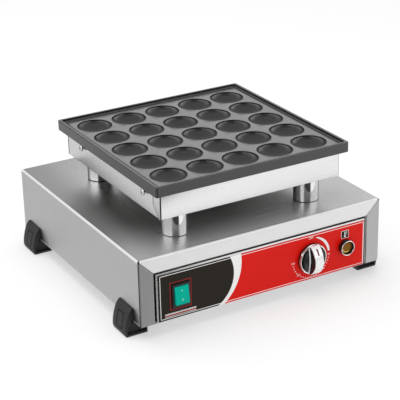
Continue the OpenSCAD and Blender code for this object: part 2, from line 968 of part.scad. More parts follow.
module heater_leads() {
    a = pass_lead_a();
    b = pass_lead_b();
    block_top = pan_top + block_h;
    color("linen") {
        wire([
            [pin_x, run_y0, pin_z],
            [pin_x, run_y0, route_z],
            [a.x, run_y0 + run_pitch, route_z],
            [a.x, a.y, route_z],
            [a.x, a.y, zt - 2 * lead_bend],
            [block_x - block_w / 5, block_y, block_top + lead_bend],
            [block_x - block_w / 5, block_y, block_top]
        ], lead_d);
        wire([
            [pin_x, run_y0 + (runs - 1) * run_pitch, pin_z],
            [pin_x, run_y0 + (runs - 1) * run_pitch, route_z],
            [b.x, b.y, route_z],
            [b.x, b.y, zt - lead_bend],
            [block_x - 2 * block_w / 5, block_y, block_top + 2 * lead_bend],
            [block_x - 2 * block_w / 5, block_y, block_top]
        ], lead_d);
    }
}

module control_leads() {
    block_top = pan_top + block_h;
    switch_back = label_y + switch_depth + 10;
    thermo_back = panel_back + thermo_depth;
    color("linen") {
        wire([
            [block_x + block_w / 5, block_y, block_top],
            [block_x + block_w / 5, block_y, block_top + lead_bend],
            [switch_x - body_hw / 2, switch_back + 2 * lead_bend, zc + body_hh / 2],
            [switch_x - body_hw / 2, switch_back, zc + body_hh / 2]
        ], lead_d);
        wire([
            [switch_x + body_hw / 2, switch_back, zc + body_hh / 2],
            [switch_x + body_hw / 2, switch_back + lead_bend, zc + body_hh / 2],
            [dial_x - thermo_w / 4, thermo_back + lead_bend, zc + thermo_h / 4],
            [dial_x - thermo_w / 4, thermo_back, zc + thermo_h / 4]
        ], lead_d);
        wire([
            [dial_x + thermo_w / 4, thermo_back, zc - thermo_h / 4],
            [dial_x + thermo_w / 4, thermo_back + lead_bend, zc - thermo_h / 4],
            [lamp_x, label_y + lamp_thread + lead_bend, lamp_z],
            [lamp_x, label_y + lamp_thread, lamp_z]
        ], lead_d);
    }
}

module thermostat_body() {
    color("beige")
        difference() {
            slab(
                [dial_x - thermo_w / 2, panel_back, zc - thermo_h / 2],
                [dial_x + thermo_w / 2, panel_back + thermo_depth, zc + thermo_h / 2]
            );
            facing_front(dial_x, panel_back + shaft_in + run_fit, zc)
                cylinder(d = shaft_d + 2 * run_fit, h = shaft_in + past);
            at_thermo_screws()
                facing_front(dial_x, panel_back + 6, zc)
                    cylinder(d = thermo_screw_d + 2 * run_fit, h = 6 + past);
        }
}

module thermostat_screws() {
    color("lightgray")
        at_thermo_screws()
            facing_front(dial_x, panel_y, zc)
                pan_screw(thermo_screw_d, sheet + 5, thermo_head_d, min(thermo_head_h, label_t + knob_gap - 0.3));
}

// Flat cut on the shaft's front end, grown by the given clearance
module shaft_bar(len, gap) {
    difference() {
        cylinder(d = shaft_d + 2 * gap, h = len);
        translate([-shaft_d, shaft_d / 2 - shaft_flat + gap, -past])
            cube([2 * shaft_d, shaft_d, len + 2 * past]);
    }
}

module thermostat_shaft() {
    color("darkgray") {
        facing_front(dial_x, panel_back + shaft_in, zc)
            cylinder(d = shaft_d, h = panel_back + shaft_in - knob_y);
        facing_front(dial_x, knob_y + eps, zc)
            shaft_bar(knob_bore - drop_fit, 0);
    }
}

// Slice along the grip bar's crown, from sink below its surface to proud above it
module crown_slice(sink, proud) {
    translate([0, 0, knob_h - crown_r])
        rotate([0, 90, 0])
            difference() {
                cylinder(r = crown_r + proud, h = pointer_w, center = true);
                cylinder(r = crown_r - sink, h = pointer_w + 2 * past, center = true);
            }
}

module pointer_zone(proud) {
    intersection() {
        crown_slice(pointer_sink, proud);
        translate([-pointer_w, knob_d / 2 - pointer_edge - pointer_len, skirt_h])
            cube([2 * pointer_w, pointer_len, knob_h]);
    }
}

module knob_form() {
    difference() {
        union() {
            cylinder(d = knob_d, h = skirt_h);
            translate([0, 0, skirt_h])
                cylinder(d1 = knob_d - skirt_edge, d2 = grip_w, h = skirt_rise);
            intersection() {
                cylinder(d = knob_d, h = knob_h);
                translate([0, 0, knob_h - crown_r])
                    rotate([0, 90, 0])
                        cylinder(r = crown_r, h = grip_w, center = true);
            }
        }
        translate([0, 0, -past])
            shaft_bar(knob_bore + past, run_fit);
        pointer_zone(past);
    }
}

module knob() {
    color("whitesmoke")
        facing_front(dial_x, knob_y, zc)
            knob_form();
}

module knob_pointer() {
    color("darkred")
        facing_front(dial_x, knob_y, zc)
            pointer_zone(pointer_proud);
}

module switch_body() {
    color("black")
        difference() {
            union() {
                slab(
                    [switch_x - body_hw - bezel_edge, label_y - bezel_t, zc - body_hh - bezel_edge],
                    [switch_x + body_hw + bezel_edge, label_y, zc + body_hh + bezel_edge]
                );
                slab(
                    [switch_x - body_hw, label_y - eps, zc - body_hh],
                    [switch_x + body_hw, label_y + switch_depth, zc + body_hh]
                );
            }
            slab(
                [switch_x - cavity_hw, label_y - bezel_t - past, zc - cavity_hh],
                [switch_x + cavity_hw, cavity_y, zc + cavity_hh]
            );
            translate([switch_x, pivot_y, zc])
                rotate([0, 90, 0])
                    cylinder(d = pivot_d + 2 * run_fit, h = 2 * (body_hw + past), center = true);
        }
}

module switch_terminals() {
    color("khaki")
        for (sx = [-1, 1], sz = [-1, 1])
            translate([switch_x + sx * body_hw / 2, label_y + switch_depth, zc + sz * body_hh / 2])
                slab([-0.4, 0, -3.1], [0.4, 10, 3.1]);
}

module switch_rocker() {
    color("mediumseagreen")
        translate([switch_x, pivot_y, zc])
            rotate([-rocker_tilt, 0, 0]) {
                rotate([90, 0, 90])
                    linear_extrude(rocker_w, center = true)
                        polygon([
                            [-rocker_front, -rocker_l / 2],
                            [0, -rocker_l / 2],
                            [rocker_back, -rocker_l / 6],
                            [rocker_back, rocker_l / 6],
                            [0, rocker_l / 2],
                            [-rocker_front, rocker_l / 2]
                        ]);
                rotate([0, 90, 0])
                    cylinder(d = pivot_d, h = 2 * (cavity_hw + switch_wall * 0.8), center = true);
            }
}

module lamp_ring() {
    color("wheat")
        facing_front(lamp_x, label_y, lamp_z)
            difference() {
                union() {
                    cylinder(d = lamp_d, h = lamp_h);
                    translate([0, 0, -lamp_thread])
                        cylinder(d = lamp_thread_d, h = lamp_thread + eps);
                }
                translate([0, 0, lamp_floor])
                    cylinder(d = lamp_d - 2 * lamp_wall, h = lamp_h);
            }
}

module lamp_lens() {
    lens_r = lamp_d / 2 - lamp_wall - drop_fit;
    lens_h = lamp_h - lamp_floor - lens_sink;
    color("goldenrod")
        facing_front(lamp_x, label_y, lamp_z)
            translate([0, 0, lamp_floor])
                intersection() {
                    cylinder(r = lens_r, h = lens_h);
                    translate([0, 0, lens_h - 2.4 * lens_r])
                        sphere(2.4 * lens_r, $fn = 240);
                }
}

module lamp_nut() {
    color("lightgray")
        facing_back(lamp_x, panel_back, lamp_z)
            hex_nut(lamp_thread_d + 5, 4, lamp_thread_d + 2 * run_fit);
}

module at_block_screws() {
    for (i = [-2 : 2])
        translate([block_x + i * block_w / 5, block_y, pan_top + block_h])
            children();
}

module terminal_block() {
    color("antiquewhite")
        difference() {
            slab(
                [block_x - block_w / 2, block_y - block_d / 2, pan_top],
                [block_x + block_w / 2, block_y + block_d / 2, pan_top + block_h]
            );
            at_block_screws()
                for (sy = [-1, 1])
                    translate([0, sy * block_d / 4, -6])
                        cylinder(d = 3 + 2 * run_fit, h = 6 + past);
        }
}

module terminal_screws() {
    color("khaki")
        at_block_screws()
            for (sy = [-1, 1])
                translate([0, sy * block_d / 4, 0])
                    pan_screw(3, 5, 4.5, 1.5);
}

module earth_stud() {
    color("khaki")
        translate([block_x + block_w, block_y, zb + sheet])
            mirror([0, 0, 1])
                pan_screw(screw_d, 16, head_d, head_h);
}

module earth_nut() {
    color("khaki")
        translate([block_x + block_w, block_y, pan_top])
            hex_nut(1.6 * screw_d, nut_h, screw_d + 2 * run_fit);
}

module cable_gland() {
    color("dimgray")
        facing_back(gland_x, -panel_y, zb + gland_z)
            difference() {
                union() {
                    cylinder(d = gland_hex / cos(30), h = gland_flange, $fn = 6);
                    translate([0, 0, -sheet - gland_tail])
                        cylinder(d = gland_thread_d, h = sheet + gland_tail + gland_flange + gland_neck);
                }
                translate([0, 0, -sheet - gland_tail - past])
                    cylinder(d = gland_bore, h = sheet + gland_tail + gland_flange + gland_neck + 2 * past);
            }
}

module gland_cap() {
    color("dimgray")
        facing_back(gland_x, -panel_y, zb + gland_z)
            difference() {
                union() {
                    translate([0, 0, gland_flange + 0.5])
                        cylinder(d = gland_hex / cos(30), h = gland_neck, $fn = 6);
                    translate([0, 0, gland_flange + 0.5 + gland_neck - eps])
                        cylinder(
                            d1 = gland_hex,
                            d2 = gland_bore + gland_wall,
                            h = gland_reach - gland_flange - 0.5 - gland_neck + eps
                        );
                }
                translate([0, 0, gland_flange])
                    cylinder(d = gland_thread_d + 2 * run_fit, h = gland_neck + 0.5);
                translate([0, 0, gland_flange])
                    cylinder(d = gland_bore + 1, h = gland_reach);
            }
}

module gland_locknut() {
    color("dimgray")
        facing_front(gland_x, -panel_back, zb + gland_z)
            hex_nut(gland_hex + 2, 5, gland_thread_d + 2 * run_fit);
}

base_shell();
front_panel();
front_label();
back_panel();
floor_pan();
foot_front_left();
foot_front_right();
foot_rear_left();
foot_rear_right();
foot_screws();
foot_nuts();
floor_screws();
floor_nuts();
column_front_left();
column_front_right();
column_rear_left();
column_rear_right();
tie_rods();
tie_washers();
tie_nuts();
heater_housing();
side_screws();
side_nuts();
bake_plate();
heating_element();
clamp_plate();
clamp_studs();
clamp_nuts();
insulation_mat();
sensor_bulb();
capillary_tube();
heater_leads();
control_leads();
thermostat_body();
thermostat_screws();
thermostat_shaft();
knob();
knob_pointer();
switch_body();
switch_terminals();
switch_rocker();
lamp_ring();
lamp_lens();
lamp_nut();
terminal_block();
terminal_screws();
earth_stud();
earth_nut();
cable_gland();
gland_cap();
gland_locknut();
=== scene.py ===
"""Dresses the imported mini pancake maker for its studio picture.

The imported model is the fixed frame.  Each sub-assembly is a class that holds its
sizes in millimetres, builds its meshes in that frame and dresses them in
finishes made of shader nodes.
"""
import logging
import math
from collections.abc import Callable, Iterable, Sequence
from dataclasses import dataclass
from enum import Enum
from typing import ClassVar

import bmesh
import bpy
from bmesh.types import BMesh
from bpy.types import Material, Mesh, Node, NodeSocket, NodeTree, Object
from mathutils import Matrix, Vector


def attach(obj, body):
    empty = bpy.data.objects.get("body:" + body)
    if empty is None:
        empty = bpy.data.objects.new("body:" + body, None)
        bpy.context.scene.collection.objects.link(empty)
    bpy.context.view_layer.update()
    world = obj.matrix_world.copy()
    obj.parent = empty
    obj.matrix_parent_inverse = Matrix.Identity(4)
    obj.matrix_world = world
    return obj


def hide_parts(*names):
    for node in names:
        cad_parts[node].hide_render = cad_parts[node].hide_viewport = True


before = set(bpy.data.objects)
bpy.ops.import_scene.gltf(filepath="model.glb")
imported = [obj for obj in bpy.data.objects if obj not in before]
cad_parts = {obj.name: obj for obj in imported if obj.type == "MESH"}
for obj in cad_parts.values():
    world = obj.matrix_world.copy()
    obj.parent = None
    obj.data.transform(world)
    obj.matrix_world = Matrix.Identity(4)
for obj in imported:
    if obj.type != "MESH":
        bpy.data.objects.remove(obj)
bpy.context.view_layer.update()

LOG = logging.getLogger("pancake_maker")
MM = 0.001
SMOOTH = 35.0
ROUND_FROM = math.radians(30.0)
FLAT = math.radians(1.0)
WELD = 1e-5  # millimetres
NODE_WELD = 2e-6  # metres

Point = Sequence[float]
Pair = tuple[float, float]
Box = tuple[float, float, float, float]
Outline = list[Pair]
Colour = tuple[float, float, float]


class Body(str, Enum):
    """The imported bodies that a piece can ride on."""

    BASE = "base"
    KNOB = "knob"
    ROCKER = "rocker"


class Slot(str, Enum):
    """The record's material slots, one passed with each new piece."""

    BRUSHED = "steel_brushed"
    SATIN = "steel_satin"
    POLISHED = "steel_polished"
    PLATED = "steel_plated"
    CAST = "cast_plate"
    RUBBER = "rubber_foot"
    PRINT = "overlay_print"
    KNOB = "knob_metal"
    POINTER = "pointer_red"
    SWITCH = "switch_black"
    ROCKER = "rocker_green"
    LAMP_RING = "lamp_bright"
    LAMP_LENS = "lamp_amber"
    GLAND = "gland_plastic"


class Grain(Enum):
    """Direction in which a steel sheet was brushed, as stretch factors."""

    X = (5.0, 700.0, 700.0)
    Z = (700.0, 700.0, 5.0)
    RING = (5.0, 5.0, 700.0)


# ---------------------------------------------------------------- node sheets


def operator(operation: str, mirrored: bool = False) -> Callable[["Socket", "Operand"], "Socket"]:
    """Makes a Socket method that adds one Math node.

    Args:
        operation: Blender's name of the operation.
        mirrored: whether the other value stands on the left.

    Returns:
        The method.
    """
    def method(self: "Socket", other: "Operand") -> "Socket":
        """Adds the node and takes its result."""
        values = {0: other, 1: self} if mirrored else {0: self, 1: other}
        return self.sheet.take("ShaderNodeMath", values, operation=operation)

    return method


class Socket:
    """One value in a node tree; arithmetic on it adds Math nodes."""

    def __init__(self, sheet: "NodeSheet", out: NodeSocket) -> None:
        """Keeps the tree and the output that carries the value."""
        self.sheet, self.out = sheet, out

    __add__, __radd__ = operator("ADD"), operator("ADD", True)
    __sub__, __rsub__ = operator("SUBTRACT"), operator("SUBTRACT", True)
    __mul__, __rmul__ = operator("MULTIPLY"), operator("MULTIPLY", True)
    __truediv__, __rtruediv__ = operator("DIVIDE"), operator("DIVIDE", True)
    __pow__, __rpow__ = operator("POWER"), operator("POWER", True)
    at_least, at_most = operator("MAXIMUM"), operator("MINIMUM")


Operand = Socket | float


class NodeSheet:
    """A node tree that is written from the script."""

    def __init__(self, tree: NodeTree) -> None:
        """Empties the tree and keeps it."""
        self.tree = tree
        tree.nodes.clear()

    def node(self, kind: str, values: dict | None = None, **settings: object) -> Node:
        """Adds one node.

        Args:
            kind: Blender's node type.
            values: sockets by name or place, each a number, colour, object, node or link.
            settings: properties that are set first; "stops" are a ramp's places and colours.

        Returns:
            The new node.
        """
        node = self.tree.nodes.new(kind)
        stops = settings.pop("stops", ())
        for key, setting in settings.items():
            setattr(node, key, setting)
        if stops:
            ramp = node.color_ramp.elements
            while len(ramp) < len(stops):
                ramp.new(0.5)
            for element, (place, colour) in zip(ramp, stops):
                element.position, element.color = place, (*colour, 1.0)
        for key, value in (values or {}).items():
            value = value.outputs[0] if isinstance(value, Node) else value
            value = value.out if isinstance(value, Socket) else value
            if isinstance(value, NodeSocket):
                self.tree.links.new(value, node.inputs[key])
            else:
                node.inputs[key].default_value = value
        return node

    def take(self, kind: str, values: dict | None = None, output: str | int = 0,
             **settings: object) -> Socket:
        """Adds a node and takes one of its outputs."""
        return Socket(self, self.node(kind, values, **settings).outputs[output])

    def split(self, vector: Socket) -> list[Socket]:
        """The x, y and z of a vector."""
        return [Socket(self, out) for out in self.node("ShaderNodeSeparateXYZ", {0: vector}).outputs]

    def ray(self, kind: str) -> Socket:
        """One for rays of a kind and zero for all others."""
        return self.take("ShaderNodeLightPath", None, f"Is {kind} Ray")

    def ease(self, value: Socket, low: float, high: float) -> Socket:
        """A smooth rise from zero at the low value to one at the high value."""
        values = {"Value": value, "From Min": low, "From Max": high}
        return self.take("ShaderNodeMapRange", values, interpolation_type="SMOOTHSTEP")


class Paint(NodeSheet):
    """A material's node tree, with the few patterns that the finishes share."""

    def __init__(self, name: str) -> None:
        """Makes the empty material."""
        self.material = bpy.data.materials.new(name)
        self.material.use_nodes = True
        super().__init__(self.material.node_tree)

    def where(self, stretch: Point = (1.0, 1.0, 1.0), shift: Point = (0.0, 0.0, 0.0)) -> Socket:
        """Object coordinates, stretched along each axis and then shifted."""
        coords = self.take("ShaderNodeTexCoord", None, "Object")
        return self.take("ShaderNodeMapping", {"Vector": coords, "Scale": stretch, "Location": shift})

    def noise(self, scale: float, detail: float, rough: float = 0.55,
              stretch: Point = (1.0, 1.0, 1.0)) -> Socket:
        """Noise about zero, of so many waves to the metre with finer layers of some weight."""
        values = {"Vector": self.where(stretch), "Scale": scale, "Detail": detail, "Roughness": rough}
        return self.take("ShaderNodeTexNoise", values) - 0.5

    def attribute(self, name: str) -> Socket:
        """A number stored on the mesh points."""
        return self.take("ShaderNodeAttribute", None, "Fac", attribute_name=name)

    def blend(self, share: Operand, first: Colour | Socket, second: Colour | Socket) -> Socket:
        """A mix of two colours, by the share of the second."""
        a, b = (c if isinstance(c, Socket) else (*c, 1.0) for c in (first, second))
        return self.take("ShaderNodeMix", {0: share, 6: a, 7: b}, 2, data_type="RGBA", clamp_factor=True)

    def tint(self, colour: Colour, low: float, high: float, change: Socket) -> Socket:
        """A colour times a factor between two limits, halfway where the change is zero."""
        ends = [tuple(min(1.0, c * factor) for c in colour) for factor in (low, high)]
        return self.blend(change + 0.5, *ends)

    def bump(self, height: Socket, strength: float, depth: float) -> Socket:
        """The surface direction of a height pattern that is so many metres deep."""
        return self.take("ShaderNodeBump", {"Height": height, "Strength": strength, "Distance": depth})

    def surface(self, **sockets: Operand) -> None:
        """Ends the tree in a Principled surface, whose sockets are named with _ for a space."""
        values = {key.replace("_", " "): value for key, value in sockets.items()}
        self.node("ShaderNodeOutputMaterial", {"Surface": self.node("ShaderNodeBsdfPrincipled", values)})


# ------------------------------------------------------------------- finishes


@dataclass(frozen=True)
class Finish:
    """A named surface; its material is painted once."""

    name: str
    _made: ClassVar[dict[str, Material]] = {}

    def material(self) -> Material:
        """The material, made at first use.

        Returns:
            The same material at every call.
        """
        if self.name not in Finish._made:
            sheet = Paint(self.name)
            self.paint(sheet)
            Finish._made[self.name] = sheet.material
        return Finish._made[self.name]

    def paint(self, sheet: Paint) -> None:
        """Writes the nodes on the empty sheet; each kind of finish has its own."""
        raise NotImplementedError


@dataclass(frozen=True)
class Steel(Finish):
    """Sheet steel with brush lines, faint cloudiness and handling marks."""

    colour: Colour = (0.60, 0.60, 0.59)
    grain: Grain = Grain.X
    roughness: float = 0.30
    streak: float = 0.5
    cloud: float = 0.25
    groove: float = 0.00008
    satin: float = 0.0
    haze: float = 0.0
    satin_y: Pair = (-0.19, -0.06)
    haze_x: Pair = (-0.180, -0.105)

    def paint(self, sheet: Paint) -> None:
        """Brush lines tint, roughen and score the sheet; its front can be paler and its left hazier.

        Args:
            sheet: the empty sheet.
        """
        stretch = self.grain.value
        lines = sheet.noise(1.0, 5.0, 0.7, stretch)
        broad = sheet.noise(1.0, 2.0, stretch=[s / 9 for s in stretch])
        fine = sheet.noise(1.0, 1.0, stretch=[s * 12 for s in stretch])
        cloudy = sheet.noise(7.0, 3.0)
        x, y, _ = sheet.split(sheet.where())
        hazy = (1.0 - sheet.ease(x, *self.haze_x)) * self.haze
        change = (lines + broad) * self.streak + cloudy * self.cloud
        sheet.surface(
            Base_Color=sheet.tint(self.colour, 0.72, 1.28, change),
            Metallic=1.0 - (1.0 - sheet.ease(y, *self.satin_y)) * self.satin,
            Roughness=lines * 0.10 + cloudy * 0.08 + self.roughness + hazy,
            Normal=sheet.bump(fine, 1.0, self.groove),
        )


@dataclass(frozen=True)
class Heated(Finish):
    """Dull sheet with painted shade that darkens it from its edges towards the middle."""

    # pale and dark ends of the painted shade
    pale: Colour = (0.95, 0.945, 0.94)
    dark: Colour = (0.60, 0.59, 0.58)
    centre: Pair = (-0.04, 0.05)
    reach: Pair = (0.20, 0.17)

    def paint(self, sheet: Paint) -> None:
        """The painted shade fades with the distance from its centre, with a ragged edge.

        Args:
            sheet: the empty sheet.
        """
        (cx, cy), (rx, ry) = self.centre, self.reach
        spot = sheet.where((1 / rx, 1 / ry, 0.0), (-cx / rx, -cy / ry, 0.0))
        away = sheet.take("ShaderNodeVectorMath", {0: spot}, "Value", operation="LENGTH")
        cloudy = sheet.noise(14.0, 3.0)
        colour = sheet.blend(sheet.ease(away + cloudy * 0.2, 0.3, 1.0), self.dark, self.pale)
        sheet.surface(Base_Color=colour, Metallic=0.6, Roughness=0.4 + cloudy * 0.2, Specular_IOR_Level=0.2)


@dataclass(frozen=True)
class Bright(Finish):
    """Polished or plated metal with light handling marks."""

    colour: Colour = (0.88, 0.88, 0.88)
    roughness: float = 0.06
    smear: float = 0.06
    speckle: float = 0.0
    metal: float = 1.0

    def paint(self, sheet: Paint) -> None:
        """Smears vary the gloss and fine crystals the tone.

        Args:
            sheet: the empty sheet.
        """
        smears = sheet.noise(38.0, 4.0, 0.6, (1.0, 1.0, 2.5))
        crystals = sheet.noise(900.0, 2.0)
        sheet.surface(
            Base_Color=sheet.tint(self.colour, 0.88, 1.10, smears * 0.4 + crystals * self.speckle),
            Metallic=self.metal,
            Roughness=(smears + 0.15).at_least(0.0) * (4 * self.smear) + self.roughness,
            Normal=sheet.bump(smears + crystals * 0.3, 0.04, 0.0004),
        )


@dataclass(frozen=True)
class NonStick(Finish):
    """Sprayed matte coating on a cast plate, rubbed along its edges."""

    colour: Colour = (0.018, 0.018, 0.0185)
    worn: Colour = (0.050, 0.050, 0.050)
    roughness: float = 0.26
    ior: float = 1.7

    def paint(self, sheet: Paint) -> None:
        """Spray grain, cloudy tone and edge wear.

        Args:
            sheet: the empty sheet.
        """
        grain, cloudy = sheet.noise(1400.0, 3.0, 0.6), sheet.noise(16.0, 4.0, 0.6)
        coat = sheet.tint(self.colour, 0.75, 1.25, (grain + cloudy) * 0.5)
        rub = (sheet.attribute("worn") * (0.65 + cloudy * 0.6)).at_most(1.0)
        matt = sheet.attribute("inside") * 0.24
        sheet.surface(
            Base_Color=sheet.blend(rub, coat, self.worn),
            Roughness=self.roughness + matt + grain * 0.10 + cloudy * 0.08 - rub * 0.04,
            Normal=sheet.bump(grain + cloudy * 0.4, 0.20, 0.0002),
            Specular_IOR_Level=1.0,
            IOR=self.ior,
        )


@dataclass(frozen=True)
class Moulded(Finish):
    """Moulded plastic or rubber with a fine tooled grain."""

    colour: Colour = (0.02, 0.02, 0.02)
    roughness: float = 0.45
    grain: float = 1200.0
    relief: float = 0.12
    mottle: float = 0.25
    coat: float = 0.0
    specular: float = 0.5

    def paint(self, sheet: Paint) -> None:
        """Tool grain and a slight mottle.

        Args:
            sheet: the empty sheet.
        """
        tooling, cloudy = sheet.noise(self.grain, 2.0), sheet.noise(45.0, 3.0)
        sheet.surface(
            Base_Color=sheet.tint(self.colour, 0.7, 1.3, (tooling + cloudy) * self.mottle),
            Roughness=self.roughness + cloudy * 0.14 + tooling * 0.08,
            Normal=sheet.bump(tooling, self.relief, 0.0003),
            Coat_Weight=self.coat,
            Coat_Roughness=0.08,
            Specular_IOR_Level=self.specular,
        )


@dataclass(frozen=True)
class Ink(Finish):
    """Screen ink under a lightly textured polycarbonate film."""

    colour: Colour = (0.6, 0.01, 0.01)
    roughness: float = 0.32

    def paint(self, sheet: Paint) -> None:
        """The film's fine texture breaks the gloss and the ink lays unevenly.

        Args:
            sheet: the empty sheet.
        """
        film, lay = sheet.noise(1600.0, 2.0), sheet.noise(22.0, 3.0)
        sheet.surface(
            Base_Color=sheet.tint(self.colour, 0.84, 1.16, lay * 0.35 + film * 0.2),
            Roughness=self.roughness + lay * 0.12,
            Normal=sheet.bump(film, 0.10, 0.0002),
            Specular_IOR_Level=0.15,
        )


@dataclass(frozen=True)
class Lens(Finish):
    """Amber lens with pressed rings round its own axis, with painted shade towards its rim and a painted
    highlight on one ring.
    """

    colour: Colour = (0.22, 0.095, 0.006)
    # deep: colour of the painted shade towards the rim; shine: colour of the painted highlight
    deep: Colour = (0.05, 0.022, 0.004)
    shine: Colour = (0.80, 0.56, 0.16)
    centre: tuple[float, float, float] = (0.0, 0.0, 0.0)
    ring: float = 0.0008
    edge: float = 0.0088

    def paint(self, sheet: Paint) -> None:
        """Rings about the axis darken the amber and ripple the surface; painted shade darkens the amber
        towards its rim, and one ring below carries a painted highlight.

        Args:
            sheet: the empty sheet.
        """
        across, _, up = sheet.split(sheet.where(shift=[-c for c in self.centre]))
        radius = (across * across + up * up) ** 0.5
        rings = sheet.take("ShaderNodeMath", {0: radius, 1: self.ring}, operation="PINGPONG") / self.ring
        # painted shade: the radial term darkens the amber towards the collar; the rings and noise vary the
        # tone
        depth = (radius / self.edge) ** 3.0 * 0.55 + rings * 0.15 + sheet.noise(260.0, 2.0) * 0.3
        step = sheet.ease(radius, 0.0056, 0.0064) * (1.0 - sheet.ease(radius, 0.0070, 0.0078))
        # painted highlight on the ring below the middle
        painted_highlight = step * sheet.ease((across * 0.45 + up) / -0.0068, 0.35, 0.95)
        colour = sheet.blend(painted_highlight, sheet.blend(depth, self.colour, self.deep), self.shine)
        sheet.surface(
            Base_Color=colour,
            Roughness=0.30 + rings * 0.08,
            Normal=sheet.bump(rings, 0.2, 0.0002),
            Specular_IOR_Level=0.12,
            Emission_Color=colour,
            Emission_Strength=0.08,
        )


@dataclass(frozen=True)
class Fibre(Finish):
    """Pressed mineral fibre."""

    colour: Colour = (0.80, 0.77, 0.68)

    def paint(self, sheet: Paint) -> None:
        """Crossing strands and loose tufts.

        Args:
            sheet: the empty sheet.
        """
        strands, tufts = sheet.noise(260.0, 4.0, 0.7, (1.0, 6.0, 1.0)), sheet.noise(60.0, 3.0)
        sheet.surface(
            Base_Color=sheet.tint(self.colour, 0.7, 1.1, strands * 0.6 + tufts * 0.4),
            Roughness=0.85 + tufts * 0.2,
            Normal=sheet.bump(strands, 0.5, 0.001),
        )


# lit and shaded copies of one brushed steel: top, sides, front band and the two flanges each get their own
# colour as painted light and shade
SHEET_TOP = Steel("brushed_steel", (0.39, 0.39, 0.388), Grain.X, 0.25, 0.05, 0.04, 0.00004, 0.55, 0.22)
# painted highlight: the cover's bends take this brighter, less metallic copy of the steel
SHEET_BEND_HIGHLIGHT = Bright("brushed_steel_bend", (0.74, 0.74, 0.735), 0.34, 0.04, metal=0.25)
SHEET_SIDE = Steel("brushed_steel_side", (0.58, 0.58, 0.576), Grain.Z, 0.30, 0.07, 0.06)
SHEET_BAND_LIT = Steel("brushed_steel_band", (0.83, 0.83, 0.825), Grain.X, 0.30, 0.05, 0.04)
SHEET_LEFT_SHADED = Steel("brushed_steel_left", (0.30, 0.30, 0.298), Grain.Z, 0.32, 0.07, 0.06)
SHEET_RIGHT_SHADED = Steel("brushed_steel_right", (0.47, 0.47, 0.467), Grain.Z, 0.32, 0.07, 0.06)
SATIN = Steel("satin_steel", (0.90, 0.90, 0.895), Grain.X, 0.28, 0.02, 0.02, 0.000003)
TURNED = Steel("turned_column", (0.86, 0.86, 0.86), Grain.RING, 0.05, 0.05, 0.06, 0.00001)
# painted shade on the housing's underside, darkest towards its middle and back
SHADED_UNDERSIDE = Heated("heated_sheet")
# near-black steel used as painted shade: seams, the column foot gap, the housing's end walls and the plate
# behind each tab
PAINTED_SHADE = Steel("cut_edge", (0.06, 0.06, 0.06), Grain.Z, 0.45, 0.40, 0.20)
PLATED = Bright("zinc_plate", (0.84, 0.85, 0.86), 0.22, 0.06, 0.4)
CHROME = Bright("chrome", (0.90, 0.90, 0.90), 0.04, 0.03)
SILVER = Bright("knob_silver", (0.88, 0.88, 0.88), 0.25, 0.05, metal=0.25)
COATING = NonStick("non_stick")
CAST_SIDE = NonStick("non_stick_side", ior=1.44)
# painted shade: near-black, nearly matt finish for the steep faces inside the rim
RIM_SHADE = Moulded("rim_crease", (0.006, 0.006, 0.006), 0.7, 1400.0, 0.10, 0.3, specular=0.1)
RUBBER = Moulded("foot_rubber", (0.024, 0.024, 0.0245), 0.55, 900.0, 0.20, 0.30, specular=0.35)
BLACK_INK = Ink("ink_black", (0.014, 0.010, 0.006), 0.34)
RED_INK = Ink("ink_red", (0.68, 0.006, 0.002), 0.36)
WHITE_INK = Ink("ink_white", (0.86, 0.86, 0.85), 0.40)
FRAME_INK = Ink("ink_frame_red", (0.36, 0.012, 0.014), 0.36)
# the knob's real black inlay, also used as painted shade on the ring and collar sides and as a painted dark
# reflection on the grip's sides
INLAY_AND_SHADE = Moulded("knob_inlay_black", (0.008, 0.008, 0.008), 0.16, 1400.0, 0.03, 0.2)
POINTER = Moulded("pointer_red_paint", (0.13, 0.003, 0.012), 0.4)
SWITCH = Moulded("switch_black", (0.012, 0.012, 0.012), 0.38, 1500.0, 0.10)
GREEN = Moulded("rocker_green", (0.001, 0.39, 0.285), 0.24, 900.0, 0.03, 0.15, 0.02, 0.05)
MARK = Moulded("rocker_mark", (0.30, 0.70, 0.60), 0.4, 1200.0, 0.05)
GLAND = Moulded("gland_black", (0.03, 0.03, 0.031), 0.5, 1100.0, 0.15)
PALE = Moulded("pale_moulding", (0.66, 0.61, 0.50), 0.5)
SLEEVE = Moulded("silicone_sleeve", (0.62, 0.57, 0.44), 0.55)
ELEMENT = Bright("element_steel", (0.16, 0.17, 0.18), 0.35, 0.1, 0.6)
COPPER = Bright("copper_tube", (0.66, 0.34, 0.20), 0.20, 0.08, 0.3)
BRASS = Bright("brass_terminal", (0.76, 0.60, 0.28), 0.18, 0.08, 0.3)
FIBRE = Fibre("mineral_fibre")


# -------------------------------------------------------------- mesh handling


def arc(centre: Point, radius: float, start: float, end: float, steps: int) -> Outline:
    """Points on a circular arc in so many chords, between two angles in degrees."""
    angles = [math.radians(start + (end - start) * i / steps) for i in range(steps + 1)]
    return [(centre[0] + radius * math.cos(a), centre[1] + radius * math.sin(a)) for a in angles]


def rounded_rect(x0: float, x1: float, y0: float, y1: float, radius: float, steps: int = 5) -> Outline:
    """A rectangle with rounded corners of so many chords, anticlockwise from the lower right."""
    (a, b), (c, d) = (x0 + radius, x1 - radius), (y0 + radius, y1 - radius)
    return [p for x, y, start in ((b, c, -90), (b, d, 0), (a, d, 90), (a, c, 180))
            for p in arc((x, y), radius, start, start + 90, steps)]


def facing_front(x: float, y: float, z: float) -> Matrix:
    """The frame, in millimetres, of a piece on the front: its own z points out of the panel."""
    return Matrix(((1, 0, 0, x), (0, 0, -1, y), (0, 1, 0, z), (0, 0, 0, 1)))


